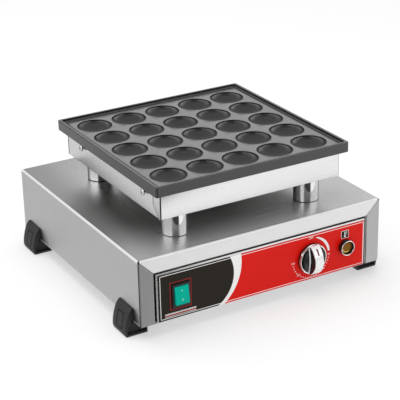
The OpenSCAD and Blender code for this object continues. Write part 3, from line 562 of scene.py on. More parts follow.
def loft(rows: Sequence[Sequence[Point]], ring: bool = True, caps: bool = True) -> BMesh:
    """Skins rows of points.

    Args:
        rows: point rows of equal length.
        ring: whether each row closes on itself.
        caps: whether the ends are filled, which makes a solid that faces outwards.

    Returns:
        The mesh in millimetres.
    """
    bm = bmesh.new()
    made = [[bm.verts.new(p) for p in row] for row in rows]
    width = len(rows[0])
    for low, high in zip(made, made[1:]):
        for i in range(width if ring else width - 1):
            j = (i + 1) % width
            bm.faces.new((low[i], low[j], high[j], high[i]))
    if caps:
        bm.faces.new(list(reversed(made[0])))
        bm.faces.new(made[-1])
        bmesh.ops.recalc_face_normals(bm, faces=bm.faces)
    return bm


def tube(rows: Sequence[Sequence[Point]]) -> BMesh:
    """Skins rings that close on themselves or at points.

    Args:
        rows: the rings.

    Returns:
        The closed mesh in millimetres.
    """
    bm = loft(rows, caps=False)
    bmesh.ops.remove_doubles(bm, verts=bm.verts, dist=WELD)
    bmesh.ops.recalc_face_normals(bm, faces=bm.faces)
    return bm


def lathe(profile: Outline, steps: int) -> BMesh:
    """Turns a profile of radius and height about its own z, in so many sides."""
    turns = arc((0.0, 0.0), 1.0, 0, 360, steps)[:-1]
    return tube([[(r * c, r * s, h) for c, s in turns] for r, h in profile])


def prism(outline: Outline, low: float, high: float, hole: Outline | None = None) -> BMesh:
    """Raises a flat outline along its own z.

    Args:
        outline: the outer line.
        low: height of the lower face.
        high: height of the upper face.
        hole: an inner line with as many points, or none.

    Returns:
        The closed mesh in millimetres.
    """
    if hole is None:
        return loft([[(x, y, h) for x, y in outline] for h in (low, high)])
    lines = ((outline, low), (outline, high), (hole, high), (hole, low), (outline, low))
    return tube([[(x, y, h) for x, y in line] for line, h in lines])


def opened(mesh: Mesh, scale: float = 1 / MM) -> BMesh:
    """Opens a mesh for work.

    Args:
        mesh: the mesh.
        scale: what its coordinates are multiplied by.

    Returns:
        A copy, in millimetres if the mesh is in metres and no scale is given.
    """
    bm = bmesh.new()
    bm.from_mesh(mesh)
    bm.transform(Matrix.Scale(scale, 4))
    return bm


def merged(meshes: Iterable[BMesh]) -> BMesh:
    """Puts several meshes into one.

    Args:
        meshes: the meshes, which are freed.

    Returns:
        The joint mesh.
    """
    whole = bmesh.new()
    for part in meshes:
        scrap = bpy.data.meshes.new("part")
        part.to_mesh(scrap)
        part.free()
        whole.from_mesh(scrap)
        bpy.data.meshes.remove(scrap)
    return whole


def shade(mesh: Mesh, smooth: float) -> None:
    """Shades a mesh smooth, apart from edges sharper than so many degrees."""
    mesh.shade_smooth()
    mesh.set_sharp_from_angle(angle=math.radians(smooth))


def piece(name: str, bm: BMesh, finishes: Sequence[Finish], place: Matrix = Matrix(),
          smooth: float = SMOOTH) -> Object:
    """Makes an object of a mesh in millimetres.

    Args:
        name: the piece's name.
        bm: its mesh, which is freed.
        finishes: one for each material number.
        place: matrix in millimetres that puts it in the frame.
        smooth: edges sharper than this many degrees stay sharp.

    Returns:
        The object, at the origin with its place in its mesh.
    """
    bm.transform(place)
    mesh = bpy.data.meshes.new(name)
    bm.to_mesh(mesh)
    bm.free()
    mesh.transform(Matrix.Scale(MM, 4))
    for finish in finishes:
        mesh.materials.append(finish.material())
    shade(mesh, smooth)
    obj = bpy.data.objects.new(name, mesh)
    bpy.context.scene.collection.objects.link(obj)
    return obj


def settle(obj: Object, kind: str, **settings: object) -> Object:
    """Works a modifier into an object's mesh.

    Args:
        obj: the object.
        kind: Blender's modifier type.
        settings: the modifier's properties, or its inputs by socket identifier.

    Returns:
        The same object without modifiers.
    """
    modifier = obj.modifiers.new(kind.lower(), kind)
    for key, value in settings.items():
        if hasattr(modifier, key):
            setattr(modifier, key, value)
        else:
            modifier[key] = value
    graph = bpy.context.evaluated_depsgraph_get()
    mesh = bpy.data.meshes.new_from_object(obj.evaluated_get(graph), depsgraph=graph)
    mesh.name = obj.name
    obj.modifiers.clear()
    obj.data = mesh
    shade(mesh, SMOOTH)
    return obj


def rounded(obj: Object, width: float, steps: int = 3) -> Object:
    """Rounds an object's sharp edges by so many millimetres, in so many chords."""
    return settle(obj, "BEVEL", width=width * MM, segments=steps, limit_method="ANGLE",
                  angle_limit=ROUND_FROM)


def walled(obj: Object, thickness: float, edge: int = 0) -> Object:
    """Gives a sheet its thickness inwards; the cut edge's material number grows by edge."""
    return settle(obj, "SOLIDIFY", thickness=thickness * MM, offset=-1.0, material_offset_rim=edge)


def cut(obj: Object, tool: Object) -> Object:
    """Takes one solid away from another.

    Args:
        obj: the solid that stays.
        tool: what is cut away, which is removed.

    Returns:
        The first object.
    """
    settle(obj, "BOOLEAN", operation="DIFFERENCE", solver="EXACT", object=tool)
    bpy.data.objects.remove(tool)
    return obj


def dark_walls(bm: BMesh, below: float) -> BMesh:
    """Gives the upright faces under a height the second finish, a dark one that paints shade on them.

    Args:
        bm: the mesh, marked in place.
        below: the height.

    Returns:
        The same mesh.
    """
    bm.normal_update()
    for face in bm.faces:
        face.material_index = int(abs(face.normal.z) < 0.4 and face.calc_center_median().z < below)
    return bm


def recut(node: str, name: str, finish: Finish, width: float, steps: int = 2) -> Object:
    """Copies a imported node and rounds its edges.

    Args:
        node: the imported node.
        name: name of the new piece.
        finish: its finish.
        width: rounding in millimetres.
        steps: chords in the rounding.

    Returns:
        The new piece.
    """
    bm = opened(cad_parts[node].data, 1.0)
    bmesh.ops.remove_doubles(bm, verts=bm.verts, dist=NODE_WELD)
    bmesh.ops.dissolve_limit(bm, angle_limit=FLAT, verts=bm.verts, edges=bm.edges)
    obj = piece(name, bm, [finish], Matrix.Scale(1 / MM, 4))
    for layer in ("custom_normal", "sharp_face"):
        if layer in obj.data.attributes:
            obj.data.attributes.remove(obj.data.attributes[layer])
    return rounded(obj, width, steps)


def fit(obj: Object, body: Body, slot: Slot, *nodes: str) -> None:
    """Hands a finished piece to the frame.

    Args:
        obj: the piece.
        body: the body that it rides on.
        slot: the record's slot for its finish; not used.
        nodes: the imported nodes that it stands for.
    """
    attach(obj, body.value)
    if nodes:
        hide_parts(*nodes)
    LOG.info("%s rides on %s: %d faces", obj.name, body.value, len(obj.data.polygons))


# ------------------------------------------------------------- geometry trees


class GeometrySheet(NodeSheet):
    """A Geometry Nodes tree with named inputs that sets a part on points and ends in plain mesh."""

    def __init__(self, name: str, **inputs: str) -> None:
        """Makes the tree and its inputs.

        Args:
            name: the tree's name.
            inputs: socket kind of each named input between the geometry and the finish.
        """
        tree = bpy.data.node_groups.new(name, "GeometryNodeTree")
        super().__init__(tree)
        self.keys = {}
        for label, kind in {"Geometry": "Geometry", **inputs, "Finish": "Material"}.items():
            socket = tree.interface.new_socket(label, in_out="INPUT", socket_type=f"NodeSocket{kind}")
            self.keys[label] = socket.identifier
        tree.interface.new_socket("Geometry", in_out="OUTPUT", socket_type="NodeSocketGeometry")
        self.given = self.node("NodeGroupInput")

    def value(self, label: str) -> Socket:
        """One named input as a socket."""
        return Socket(self, self.given.outputs[label])

    def part(self, label: str) -> Socket:
        """The mesh of an object input, as an instance."""
        values = {"Object": self.value(label), "As Instance": True}
        return self.take("GeometryNodeObjectInfo", values, "Geometry")

    def end(self, points: Socket, part: Socket, **more: Socket) -> None:
        """Sets the part on the points, realizes the copies, gives them their finish and ends the tree.

        Args:
            points: where the copies stand.
            part: what is copied.
            more: the copies' turn and size.
        """
        copies = self.node("GeometryNodeInstanceOnPoints", {"Points": points, "Instance": part, **more})
        real = self.node("GeometryNodeRealizeInstances", {"Geometry": copies})
        joint = self.node("GeometryNodeMergeByDistance", {"Geometry": real, "Distance": 1e-6})
        painted = self.node("GeometryNodeSetMaterial", {"Geometry": joint, "Material": self.value("Finish")})
        self.node("NodeGroupOutput", {"Geometry": painted})

    def grow(self, name: str, finish: Finish, seed: Mesh | None = None, **values: object) -> Object:
        """Runs the tree and keeps the result as plain mesh.

        Args:
            name: name of the new object.
            finish: its finish.
            seed: the mesh that the tree starts from, or none.
            values: the other inputs by name.

        Returns:
            The new object.
        """
        obj = bpy.data.objects.new(name, seed or bpy.data.meshes.new(name))
        bpy.context.scene.collection.objects.link(obj)
        values["Finish"] = finish.material()
        inputs = {self.keys[label]: value for label, value in values.items()}
        return settle(obj, "NODES", node_group=self.tree, **inputs)


class RepeatTree(GeometrySheet):
    """Sets a copy of one part on every marked point, turned as the point says."""

    def __init__(self) -> None:
        """Writes the tree."""
        super().__init__("repeat_part", Part="Object", Size="Float")
        turn = self.node("GeometryNodeInputNamedAttribute", {"Name": "turn"}, data_type="FLOAT_VECTOR")
        rotation = self.take("FunctionNodeEulerToRotation", {0: turn})
        self.end(self.value("Geometry"), self.part("Part"), Rotation=rotation, Scale=self.value("Size"))

    def spread(self, name: str, part: Object, spots: Sequence[tuple[Point, Point]], finish: Finish) -> Object:
        """Puts the part on each spot.

        Args:
            name: name of the new piece.
            part: the part, which is removed afterwards.
            spots: place in millimetres and turn in degrees of each copy.
            finish: finish of the piece.

        Returns:
            The piece.
        """
        seed = bpy.data.meshes.new(name)
        seed.from_pydata([Vector(place) * MM for place, _ in spots], [], [])
        turns = seed.attributes.new("turn", "FLOAT_VECTOR", "POINT")
        for cell, (_, turn) in zip(turns.data, spots):
            cell.vector = [math.radians(t) for t in turn]
        obj = self.grow(name, finish, seed, Part=part, Size=1.0)
        bpy.data.objects.remove(part)
        return obj


class HollowTree(GeometrySheet):
    """Lays one hollow in a square pattern."""

    def __init__(self) -> None:
        """Writes the tree."""
        super().__init__("hollow_pattern", Hollow="Object", Count="Int", Pitch="Float")
        count = self.value("Count")
        span = (count - 1.0) * self.value("Pitch")
        sizes = {"Size X": span, "Size Y": span, "Vertices X": count, "Vertices Y": count}
        self.end(self.take("GeometryNodeMeshGrid", sizes, "Mesh"), self.part("Hollow"))


class DotTree(GeometrySheet):
    """Sets printed dots along an arc."""

    def __init__(self) -> None:
        """Writes the tree."""
        super().__init__("dial_dots", Radius="Float", First="Float", Sweep="Float", Count="Int", Dot="Float",
                         Depth="Float")
        sizes = {"Resolution": "Count", "Radius": "Radius", "Start Angle": "First", "Sweep Angle": "Sweep"}
        line = {label: self.value(given) for label, given in sizes.items()}
        dot = {"Vertices": 14, "Radius": self.value("Dot"), "Depth": self.value("Depth")}
        self.end(self.take("GeometryNodeCurveArc", line, "Curve", mode="RADIUS"),
                 self.take("GeometryNodeMeshCylinder", dot, "Mesh"))


# ---------------------------------------------------------------- the cooker


@dataclass
class BaseShell:
    """The folded base cover with its two framed ends."""

    half_w: float = 190.0
    half_d: float = 187.0
    low: float = 20.0
    high: float = 115.5
    bend: float = 2.8
    sheet: float = 1.0
    frame_w: float = 23.0
    lip: float = 8.0
    foot_lip: float = 24.0
    seam: float = 0.45
    notch: float = 0.9
    ease: float = 0.3
    panel_edge: float = 0.7

    def _end_at(self, z: float) -> float:
        """How far the wrap reaches towards an end at a height."""
        share = max(0.0, (z - self.high + self.bend) / self.bend)
        return self.half_d - self.notch - (self.bend - self.notch) * share

    def wrap(self) -> BMesh:
        """Sides and top in one bent sheet, with the turned-in lower lips.

        Returns:
            The open sheet.
        """
        w, b, e = self.half_w, self.bend, self.ease
        half = [(w - self.foot_lip, self.low), (w - b - e, self.low)]
        half += arc((w - b, self.low + b), b, -90, 0, 6) + [(w, self.low + b + e), (w, self.high - b - e)]
        half += arc((w - b, self.high - b), b, 0, 90, 6) + [(w - b - e, self.high)]
        line = half + [(-x, z) for x, z in reversed(half)]
        return loft([[(x, end * self._end_at(z), z) for x, z in line] for end in (1, -1)], False, False)

    def fold(self) -> Outline:
        """Section of a frame's member: depth from the end and distance from the outer edge.

        Returns:
            The points from the wrap's edge to the inner lip.
        """
        b, e, far = self.bend, self.ease, self.frame_w
        outer = arc((b, b), b, 270, 180, 6) + [(0.0, b + e), (0.0, far - b - e)]
        return outer + arc((b, far - b), b, 180, 90, 6) + [(b + e, far), (self.lip, far)]

    def band(self) -> BMesh:
        """Upper member of the front frame, mitred at both ends.

        Returns:
            The open sheet.
        """
        rows = []
        for depth, run in self.fold():
            reach = min(self.half_w - self.bend, self.half_w - run - self.seam)
            across = (-reach, self.ease - reach, reach - self.ease, reach)
            rows.append([(x, depth - self.half_d, self.high - run) for x in across])
        return loft(rows, False, False)

    def upright(self, side: int) -> BMesh:
        """One side member of the front frame, mitred at its top and open along the corner.

        Args:
            side: -1 for the left one, 1 for the right one.

        Returns:
            The open sheet.
        """
        rows = []
        rounding = [(0.30, self.notch), (0.08, self.notch + 0.10), (0.0, self.notch + 0.35)]
        for depth, run in rounding + self.fold()[7:]:
            top = min(self.high - self.bend, self.high - run - self.seam)
            heights = (self.low, self.low + self.bend, top)
            rows.append([(side * (self.half_w - run), depth - self.half_d, z) for z in heights])
        return loft(rows, False, False)

    def build(self) -> None:
        """Joins the sheets, gives them their thickness and dresses them, with the two panels."""
        finishes = [SHEET_TOP, SHEET_SIDE, SHEET_BAND_LIT, SHEET_LEFT_SHADED, SHEET_RIGHT_SHADED, SHEET_BEND_HIGHLIGHT, PAINTED_SHADE]
        parts = [(self.wrap(), SHEET_TOP, 1), (self.band(), SHEET_BAND_LIT, 1), (self.band(), SHEET_BAND_LIT, -1)]
        for end in (1, -1):
            parts += [(self.upright(-1), SHEET_LEFT_SHADED, end), (self.upright(1), SHEET_RIGHT_SHADED, end)]
        inside = Vector((0, 0, (self.low + self.high) / 2))
        for bm, finish, end in parts:
            bm.transform(Matrix.Diagonal((1, end, 1, 1)))
            bm.normal_update()
            for face in bm.faces:
                # each face group takes its lit or shaded copy of the steel
                side = SHEET_SIDE if finish is SHEET_TOP and abs(face.normal.x) > 0.7 else finish
                # bend faces take the painted highlight finish
                bent = 0.1 < abs(face.normal.z) < 0.99
                face.material_index = finishes.index(SHEET_BEND_HIGHLIGHT if bent else side)
            outer = max(bm.faces, key=lambda f: f.calc_area())
            if outer.normal.dot(outer.calc_center_median() - inside) < 0:
                bmesh.ops.reverse_faces(bm, faces=bm.faces)
        whole = merged(bm for bm, _, _ in parts)
        bmesh.ops.remove_doubles(whole, verts=whole.verts, dist=1e-4)
        # the sheet's cut edges take the last finish, near-black, as painted shade along the seams
        cover = walled(piece("base_cover", whole, finishes, smooth=40.0), self.sheet, len(finishes))
        fit(cover, Body.BASE, Slot.BRUSHED, "base_shell")
        for node, name in (("front_panel", "front_tray"), ("back_panel", "vented_back")):
            fit(recut(node, name, SATIN, self.panel_edge), Body.BASE, Slot.SATIN, node)


@dataclass
class FrontLabel:
    """The printed film on the front tray; boxes are left, right, lower and upper side above the table."""

    low: float = 20.5
    high: float = 88.0
    face: float = -186.9
    ink: float = 0.04
    red_right: float = 164.1
    dark_edge: tuple[Pair, ...] = ((-53.7, 88.3), (-47.5, 62.4), (-73.1, 20.0))
    red_edge: tuple[Pair, ...] = ((-36.3, 88.3), (-35.7, 71.2), (-63.8, 20.0))
    border: Box = (-159.6, 163.7, 22.5, 86.0)
    border_w: float = 0.8
    switch: Box = (-145.0, -113.0, 33.0, 73.4)
    switch_w: float = 0.9
    bar_x: Pair = (-153.0, -106.2)
    bar_z: Pair = (25.5, 27.1)
    stripes: tuple[Pair, ...] = ((24.5, 25.1), (27.4, 28.3), (28.9, 29.4))
    sign: Box = (126.0, 138.5, 68.5, 80.0)
    sign_w: float = 0.55
    stem: Box = (131.5, 133.0, 72.0, 78.4)
    bulb: Pair = (132.25, 71.6)
    bulb_r: float = 1.7
    ticks: tuple[float, ...] = (74.2, 75.8, 77.4)
    tick_x: Pair = (134.2, 136.0)
    tick_w: float = 0.6
    dial: Pair = (76.0, 53.0)
    dial_r: float = 29.6
    numbers: tuple[int, ...] = (50, 100, 150, 200, 250)
    first: float = 94.0
    apart: float = 43.0
    off_size: float = 4.6
    number_size: float = 3.8
    swell_half: float = 1.9
    swell_from: float = 17.0
    swell_sweep: float = 66.0
    dot_count: int = 4
    dot_r: float = 0.75
    dot_from: float = 9.5
    dot_sweep: float = 24.0

    def edge(self, points: Sequence[Point], steps: int = 28) -> Outline:
        """A circle's arc from the film's lower to its upper side.

        Args:
            points: three points on it.
            steps: chords.

        Returns:
            The points from the lower end upwards.
        """
        (ax, ay), (bx, by), (cx, cy) = points
        twice = 2 * (ax * (by - cy) + bx * (cy - ay) + cx * (ay - by))
        sq = [x * x + y * y for x, y in points]
        ux = (sq[0] * (by - cy) + sq[1] * (cy - ay) + sq[2] * (ay - by)) / twice
        uy = (sq[0] * (cx - bx) + sq[1] * (ax - cx) + sq[2] * (bx - ax)) / twice
        radius = math.hypot(ax - ux, ay - uy)
        heights = [self.low + (self.high - self.low) * i / steps for i in range(steps + 1)]
        return [(ux + math.sqrt(radius**2 - (z - uy) ** 2), z) for z in heights]

    def printed(self, name: str, finish: Finish, *meshes: BMesh) -> None:
        """Makes one ink of flat shapes drawn in x and height."""
        fit(piece(name, merged(meshes), [finish], facing_front(0, self.face, 0)), Body.BASE, Slot.PRINT)

    def line_frame(self, box: Box, width: float, top: float, radius: float = 0.0) -> BMesh:
        """A thin printed rectangle: its box, line width, height of ink and corner radius."""
        inner = [side + inset * width for side, inset in zip(box, (1, -1, 1, -1))]
        return prism(rounded_rect(*box, radius + width), 0.0, top, rounded_rect(*inner, max(radius, 0.05)))

    def fields(self) -> None:
        """Red field, white sweep and the thin border."""
        ink, right = self.ink, self.red_right
        dark, red = self.edge(self.dark_edge), self.edge(self.red_edge)
        field = red + [(right, self.high), (right, self.low)]
        self.printed("label_red_field", RED_INK, prism(field, 0.0, ink))
        self.printed("label_white_sweep", WHITE_INK, prism(dark + red[::-1], 0.0, ink))
        self.printed("label_border", WHITE_INK, self.line_frame(self.border, self.border_w, 2 * ink, 0.3))

    def switch_print(self) -> None:
        """Red frame and bar round the switch, and the heat sign over the lamp."""
        top, above = 2 * self.ink, 3 * self.ink
        bands = (self.bar_z, *self.stripes)
        bar, *stripes = (prism(rounded_rect(*self.bar_x, *z, 0.1), 0.0, top) for z in bands)
        self.printed("label_switch_frame", FRAME_INK, self.line_frame(self.switch, self.switch_w, top), bar)
        self.printed("label_switch_stripes", WHITE_INK, *stripes)
        self.printed("label_sign_ground", BLACK_INK, prism(rounded_rect(*self.sign, 0.6), 0.0, top))
        shapes = [rounded_rect(*self.stem, 0.7), arc(self.bulb, self.bulb_r, 0, 345, 23)]
        shapes += [rounded_rect(*self.tick_x, z, z + self.tick_w, 0.1) for z in self.ticks]
        frame_line = self.line_frame(self.sign, self.sign_w, above, 0.2)
        self.printed("label_sign", WHITE_INK, *(prism(shape, 0.0, above) for shape in shapes), frame_line)

    def lettering(self, words: str, x: float, z: float, size: float) -> BMesh:
        """Plain dial lettering as mesh.

        Args:
            words: what it says.
            x: centre across.
            z: centre height.
            size: letter size.

        Returns:
            The mesh, flat in x and height.
        """
        text = bpy.data.curves.new("dial_text", "FONT")
        text.body, text.size, text.extrude = words, size, self.ink
        text.align_x, text.align_y = "CENTER", "CENTER"
        holder = bpy.data.objects.new("dial_text", text)
        bpy.context.scene.collection.objects.link(holder)
        graph = bpy.context.evaluated_depsgraph_get()
        mesh = bpy.data.meshes.new_from_object(holder.evaluated_get(graph), depsgraph=graph)
        bm = opened(mesh, 1.0)
        bmesh.ops.remove_doubles(bm, verts=bm.verts, dist=WELD)
        bm.transform(Matrix.Translation((x, z, self.ink)))
        bpy.data.objects.remove(holder)
        bpy.data.meshes.remove(mesh)
        bpy.data.curves.remove(text)
        return bm

    def swell(self, steps: int = 30) -> BMesh:
        """The band beside OFF that grows towards the first number.

        Args:
            steps: chords.

        Returns:
            The closed mesh.
        """
        (x, z), sides = self.dial, ([], [])
        for i in range(steps + 1):
            half = self.swell_half * math.sin(math.pi * min(1.0, 0.12 + 0.62 * i / steps))
            a = math.radians(90 - (self.swell_from + self.swell_sweep * i / steps))
            for side, r in zip(sides, (self.dial_r - half, self.dial_r + half)):
                side.append((x + r * math.cos(a), z + r * math.sin(a)))
        return prism(sides[0] + sides[1][::-1], 0.0, 2 * self.ink)

    def dial_print(self, dots: DotTree) -> None:
        """OFF, the growing band, the numbers and the dots between them.

        Args:
            dots: the tree that sets dots along an arc.
        """
        (x, z), r = self.dial, self.dial_r
        marks, runs = [self.lettering("OFF", x, z + r, self.off_size)], []
        for i, number in enumerate(self.numbers):
            bearing = 90 - (self.first + self.apart * i)
            a = math.radians(bearing)
            across, up = x + r * math.cos(a), z + r * math.sin(a)
            marks.append(self.lettering(str(number), across, up, self.number_size))
            if i < len(self.numbers) - 1:
                run = dots.grow("dial_run", WHITE_INK, Radius=r * MM, Count=self.dot_count,
                                First=math.radians(bearing - self.dot_from),
                                Sweep=math.radians(-self.dot_sweep), Dot=self.dot_r * MM,
                                Depth=4 * self.ink * MM)
                runs.append(opened(run.data))
                bpy.data.objects.remove(run)
        self.printed("dial_numbers", WHITE_INK, *marks, self.swell())
        dotted = piece("dial_dots", merged(runs), [WHITE_INK], facing_front(x, self.face, z))
        fit(dotted, Body.BASE, Slot.PRINT)

    def build(self, dots: DotTree) -> None:
        """Prints the film.

        Args:
            dots: the tree that sets dots along an arc.
        """
        self.fields()
        self.switch_print()
        self.dial_print(dots)


@dataclass
class Foot:
    """One moulded foot; the section is outward distance from the side wall and height."""

    wall: float = 190.0
    half: float = 19.0
    centre_y: float = 148.5
    edge: float = 1.1
    pocket_in: float = 5.0
    groove_half: float = 8.5
    groove_w: float = 1.5
    groove_d: float = 1.1
    groove_low: Pair = (12.33, 8.0)
    groove_high: Pair = (7.60, 31.0)
    section: tuple[Pair, ...] = (
        (-20.5, 0.0), (11.0, 0.0), (12.5, 5.0), (12.0, 14.0), (10.2, 22.5), (7.5, 31.3), (5.2, 36.0),
        (2.5, 39.5), (1.5, 40.5), (0.0, 40.5), (0.0, 20.0), (-20.5, 20.0))
    pocket: tuple[Pair, ...] = (
        (-18.5, 3.0), (9.0, 3.0), (9.0, 12.0), (1.0, 26.0), (1.0, 17.5), (-18.5, 17.5))

    def block(self, line: Sequence[Pair], low: float, high: float) -> BMesh:
        """A section drawn out along the base's side, about the foot's own middle."""
        return loft([[(u, t, z) for u, z in line] for t in (low, high)])

    def groove(self) -> BMesh:
        """The square ring that is sunk into the outer face round a plain field.

        Returns:
            The closed mesh of what is cut away.
        """
        (u0, z0), (u1, z1) = self.groove_low, self.groove_high
        tall, g, w = math.hypot(u1 - u0, z1 - z0) / 2, self.groove_half, self.groove_w
        ring = prism(rounded_rect(-g, g, -tall, tall, 1.2), -self.groove_d, 3.0,
                     rounded_rect(w - g, g - w, w - tall, tall - w, 0.6))
        lean = math.atan2(u0 - u1, z1 - z0)
        c, s = math.cos(lean), math.sin(lean)
        axes = Matrix(((0, 1, 0), (-s, 0, c), (c, 0, s))).transposed().to_4x4()
        ring.transform(Matrix.Translation(((u0 + u1) / 2, 0, (z0 + z1) / 2)) @ axes)
        return ring

    def master(self) -> Object:
        """The foot on the right, about its own middle.

        Returns:
            The object, still to be placed.
        """
        foot = rounded(piece("foot", self.block(self.section, -self.half, self.half), [RUBBER]), self.edge)
        for end in (-1, 1):
            ends = sorted((end * (self.half + 1.0), end * (self.half - self.pocket_in)))
            cut(foot, piece("pocket", self.block(self.pocket, *ends), [RUBBER]))
        return cut(foot, piece("groove", self.groove(), [RUBBER]))

    def build(self) -> None:
        """Makes the four feet."""
        master = self.master()
        for fb, y in (("front", -self.centre_y), ("rear", self.centre_y)):
            for lr, side in (("left", -1), ("right", 1)):
                bm = opened(master.data)
                bm.transform(Matrix.Diagonal((side, 1, 1, 1)) @ Matrix.Translation((self.wall, y, 0)))
                if side < 0:
                    bmesh.ops.reverse_faces(bm, faces=bm.faces)
                obj = piece(f"rubber_foot_{fb}_{lr}", bm, [RUBBER])
                fit(obj, Body.BASE, Slot.RUBBER, f"foot_{fb}_{lr}")
        bpy.data.objects.remove(master)


@dataclass
class Fasteners:
    """The screws that show, each a cross-headed pan head."""

    head_r: float = 4.8
    head_h: float = 3.2
    edge_h: float = 0.9
    shank_r: float = 2.5
    cross: Pair = (2.5, 0.6)
    foot_spot: tuple[float, float, float] = (179.75, 148.5, 12.0)
    foot_length: float = 15.0
    floor_x: tuple[float, ...] = (-120.0, 0.0, 120.0)
    floor_y: float = 175.5
    floor_z: float = 20.0
    floor_length: float = 7.0
    side_x: float = 146.8
    side_y: tuple[float, ...] = (-126.0, 60.0)
    side_z: float = 181.5
    side_length: float = 15.8

    def screw(self, length: float) -> Object:
        """One screw, its head up from the seat at zero.

        Args:
            length: shank length under the head.

        Returns:
            The part.
        """
        r, h, e = self.head_r, self.head_h, self.edge_h
        profile = [(0.0, -length), (self.shank_r, -length + 0.6), (self.shank_r, 0.0), (r, 0.0), (r, e)]
        profile += [(r * c, e + (h - e) * s) for c, s in arc((0.0, 0.0), 1.0, 15, 75, 4)] + [(0.0, h)]
        a, b = self.cross
        plus = [(a, -b), (a, b), (b, b)]
        for i in range(9):
            plus.append((-plus[i][1], plus[i][0]))
        body = piece("screw", lathe(profile, 28), [PLATED])
        return cut(body, piece("cross", prism(plus, h - 1.7, h + 1.0), [PLATED]))

    def build(self, tree: RepeatTree) -> None:
        """Sets the screws.

        Args:
            tree: the tree that repeats a part.
        """
        x, y, z = self.foot_spot
        ends = (-1, 1)
        spots = {
            "foot": [((sx * x, sy * y, z), (180, 0, 30 * sx)) for sx in ends for sy in ends],
            "floor": [((fx, sy * self.floor_y, self.floor_z), (180, 0, 17 + fx))
                      for fx in self.floor_x for sy in ends],
            "side": [((sx * self.side_x, sy, self.side_z), (0, 90 * sx, 0))
                     for sx in ends for sy in self.side_y],
        }
        lengths = (self.foot_length, self.floor_length, self.side_length)
        for (kind, places), length in zip(spots.items(), lengths):
            screws = tree.spread(f"{kind}_screw_set", self.screw(length), places, PLATED)
            fit(screws, Body.BASE, Slot.PLATED, f"{kind}_screws")


@dataclass
class Columns:
    """The four turned columns, each with a shadow gap at its foot whose wall is painted dark as shade."""

    x: float = 104.5
    front: float = -130.5
    rear: float = 94.5
    low: float = 115.5
    height: float = 35.0
    radius: float = 17.9
    bore: float = 14.5
    gap: float = 0.7
    gap_in: float = 0.8

    def turned(self) -> BMesh:
        """One column on its own axis.

        Returns:
            The closed mesh.
        """
        b, r, h, g = self.bore, self.radius, self.height, self.gap
        line = [(b, 0.0), (r - self.gap_in, 0.0), (r - self.gap_in, g), (r - 0.25, g), (r, g + 0.25),
                (r, h - 0.3), (r - 0.3, h), (b, h), (b, 0.0)]
        return dark_walls(lathe(line, 96), g)

    def build(self) -> None:
        """Stands the four columns."""
        for side, x in (("left", -self.x), ("right", self.x)):
            for end, y in (("front", self.front), ("rear", self.rear)):
                place = Matrix.Translation((x, y, self.low))
                obj = piece(f"post_{end}_{side}", self.turned(), [TURNED, PAINTED_SHADE], place)
                fit(obj, Body.BASE, Slot.POLISHED, f"column_{end}_{side}")


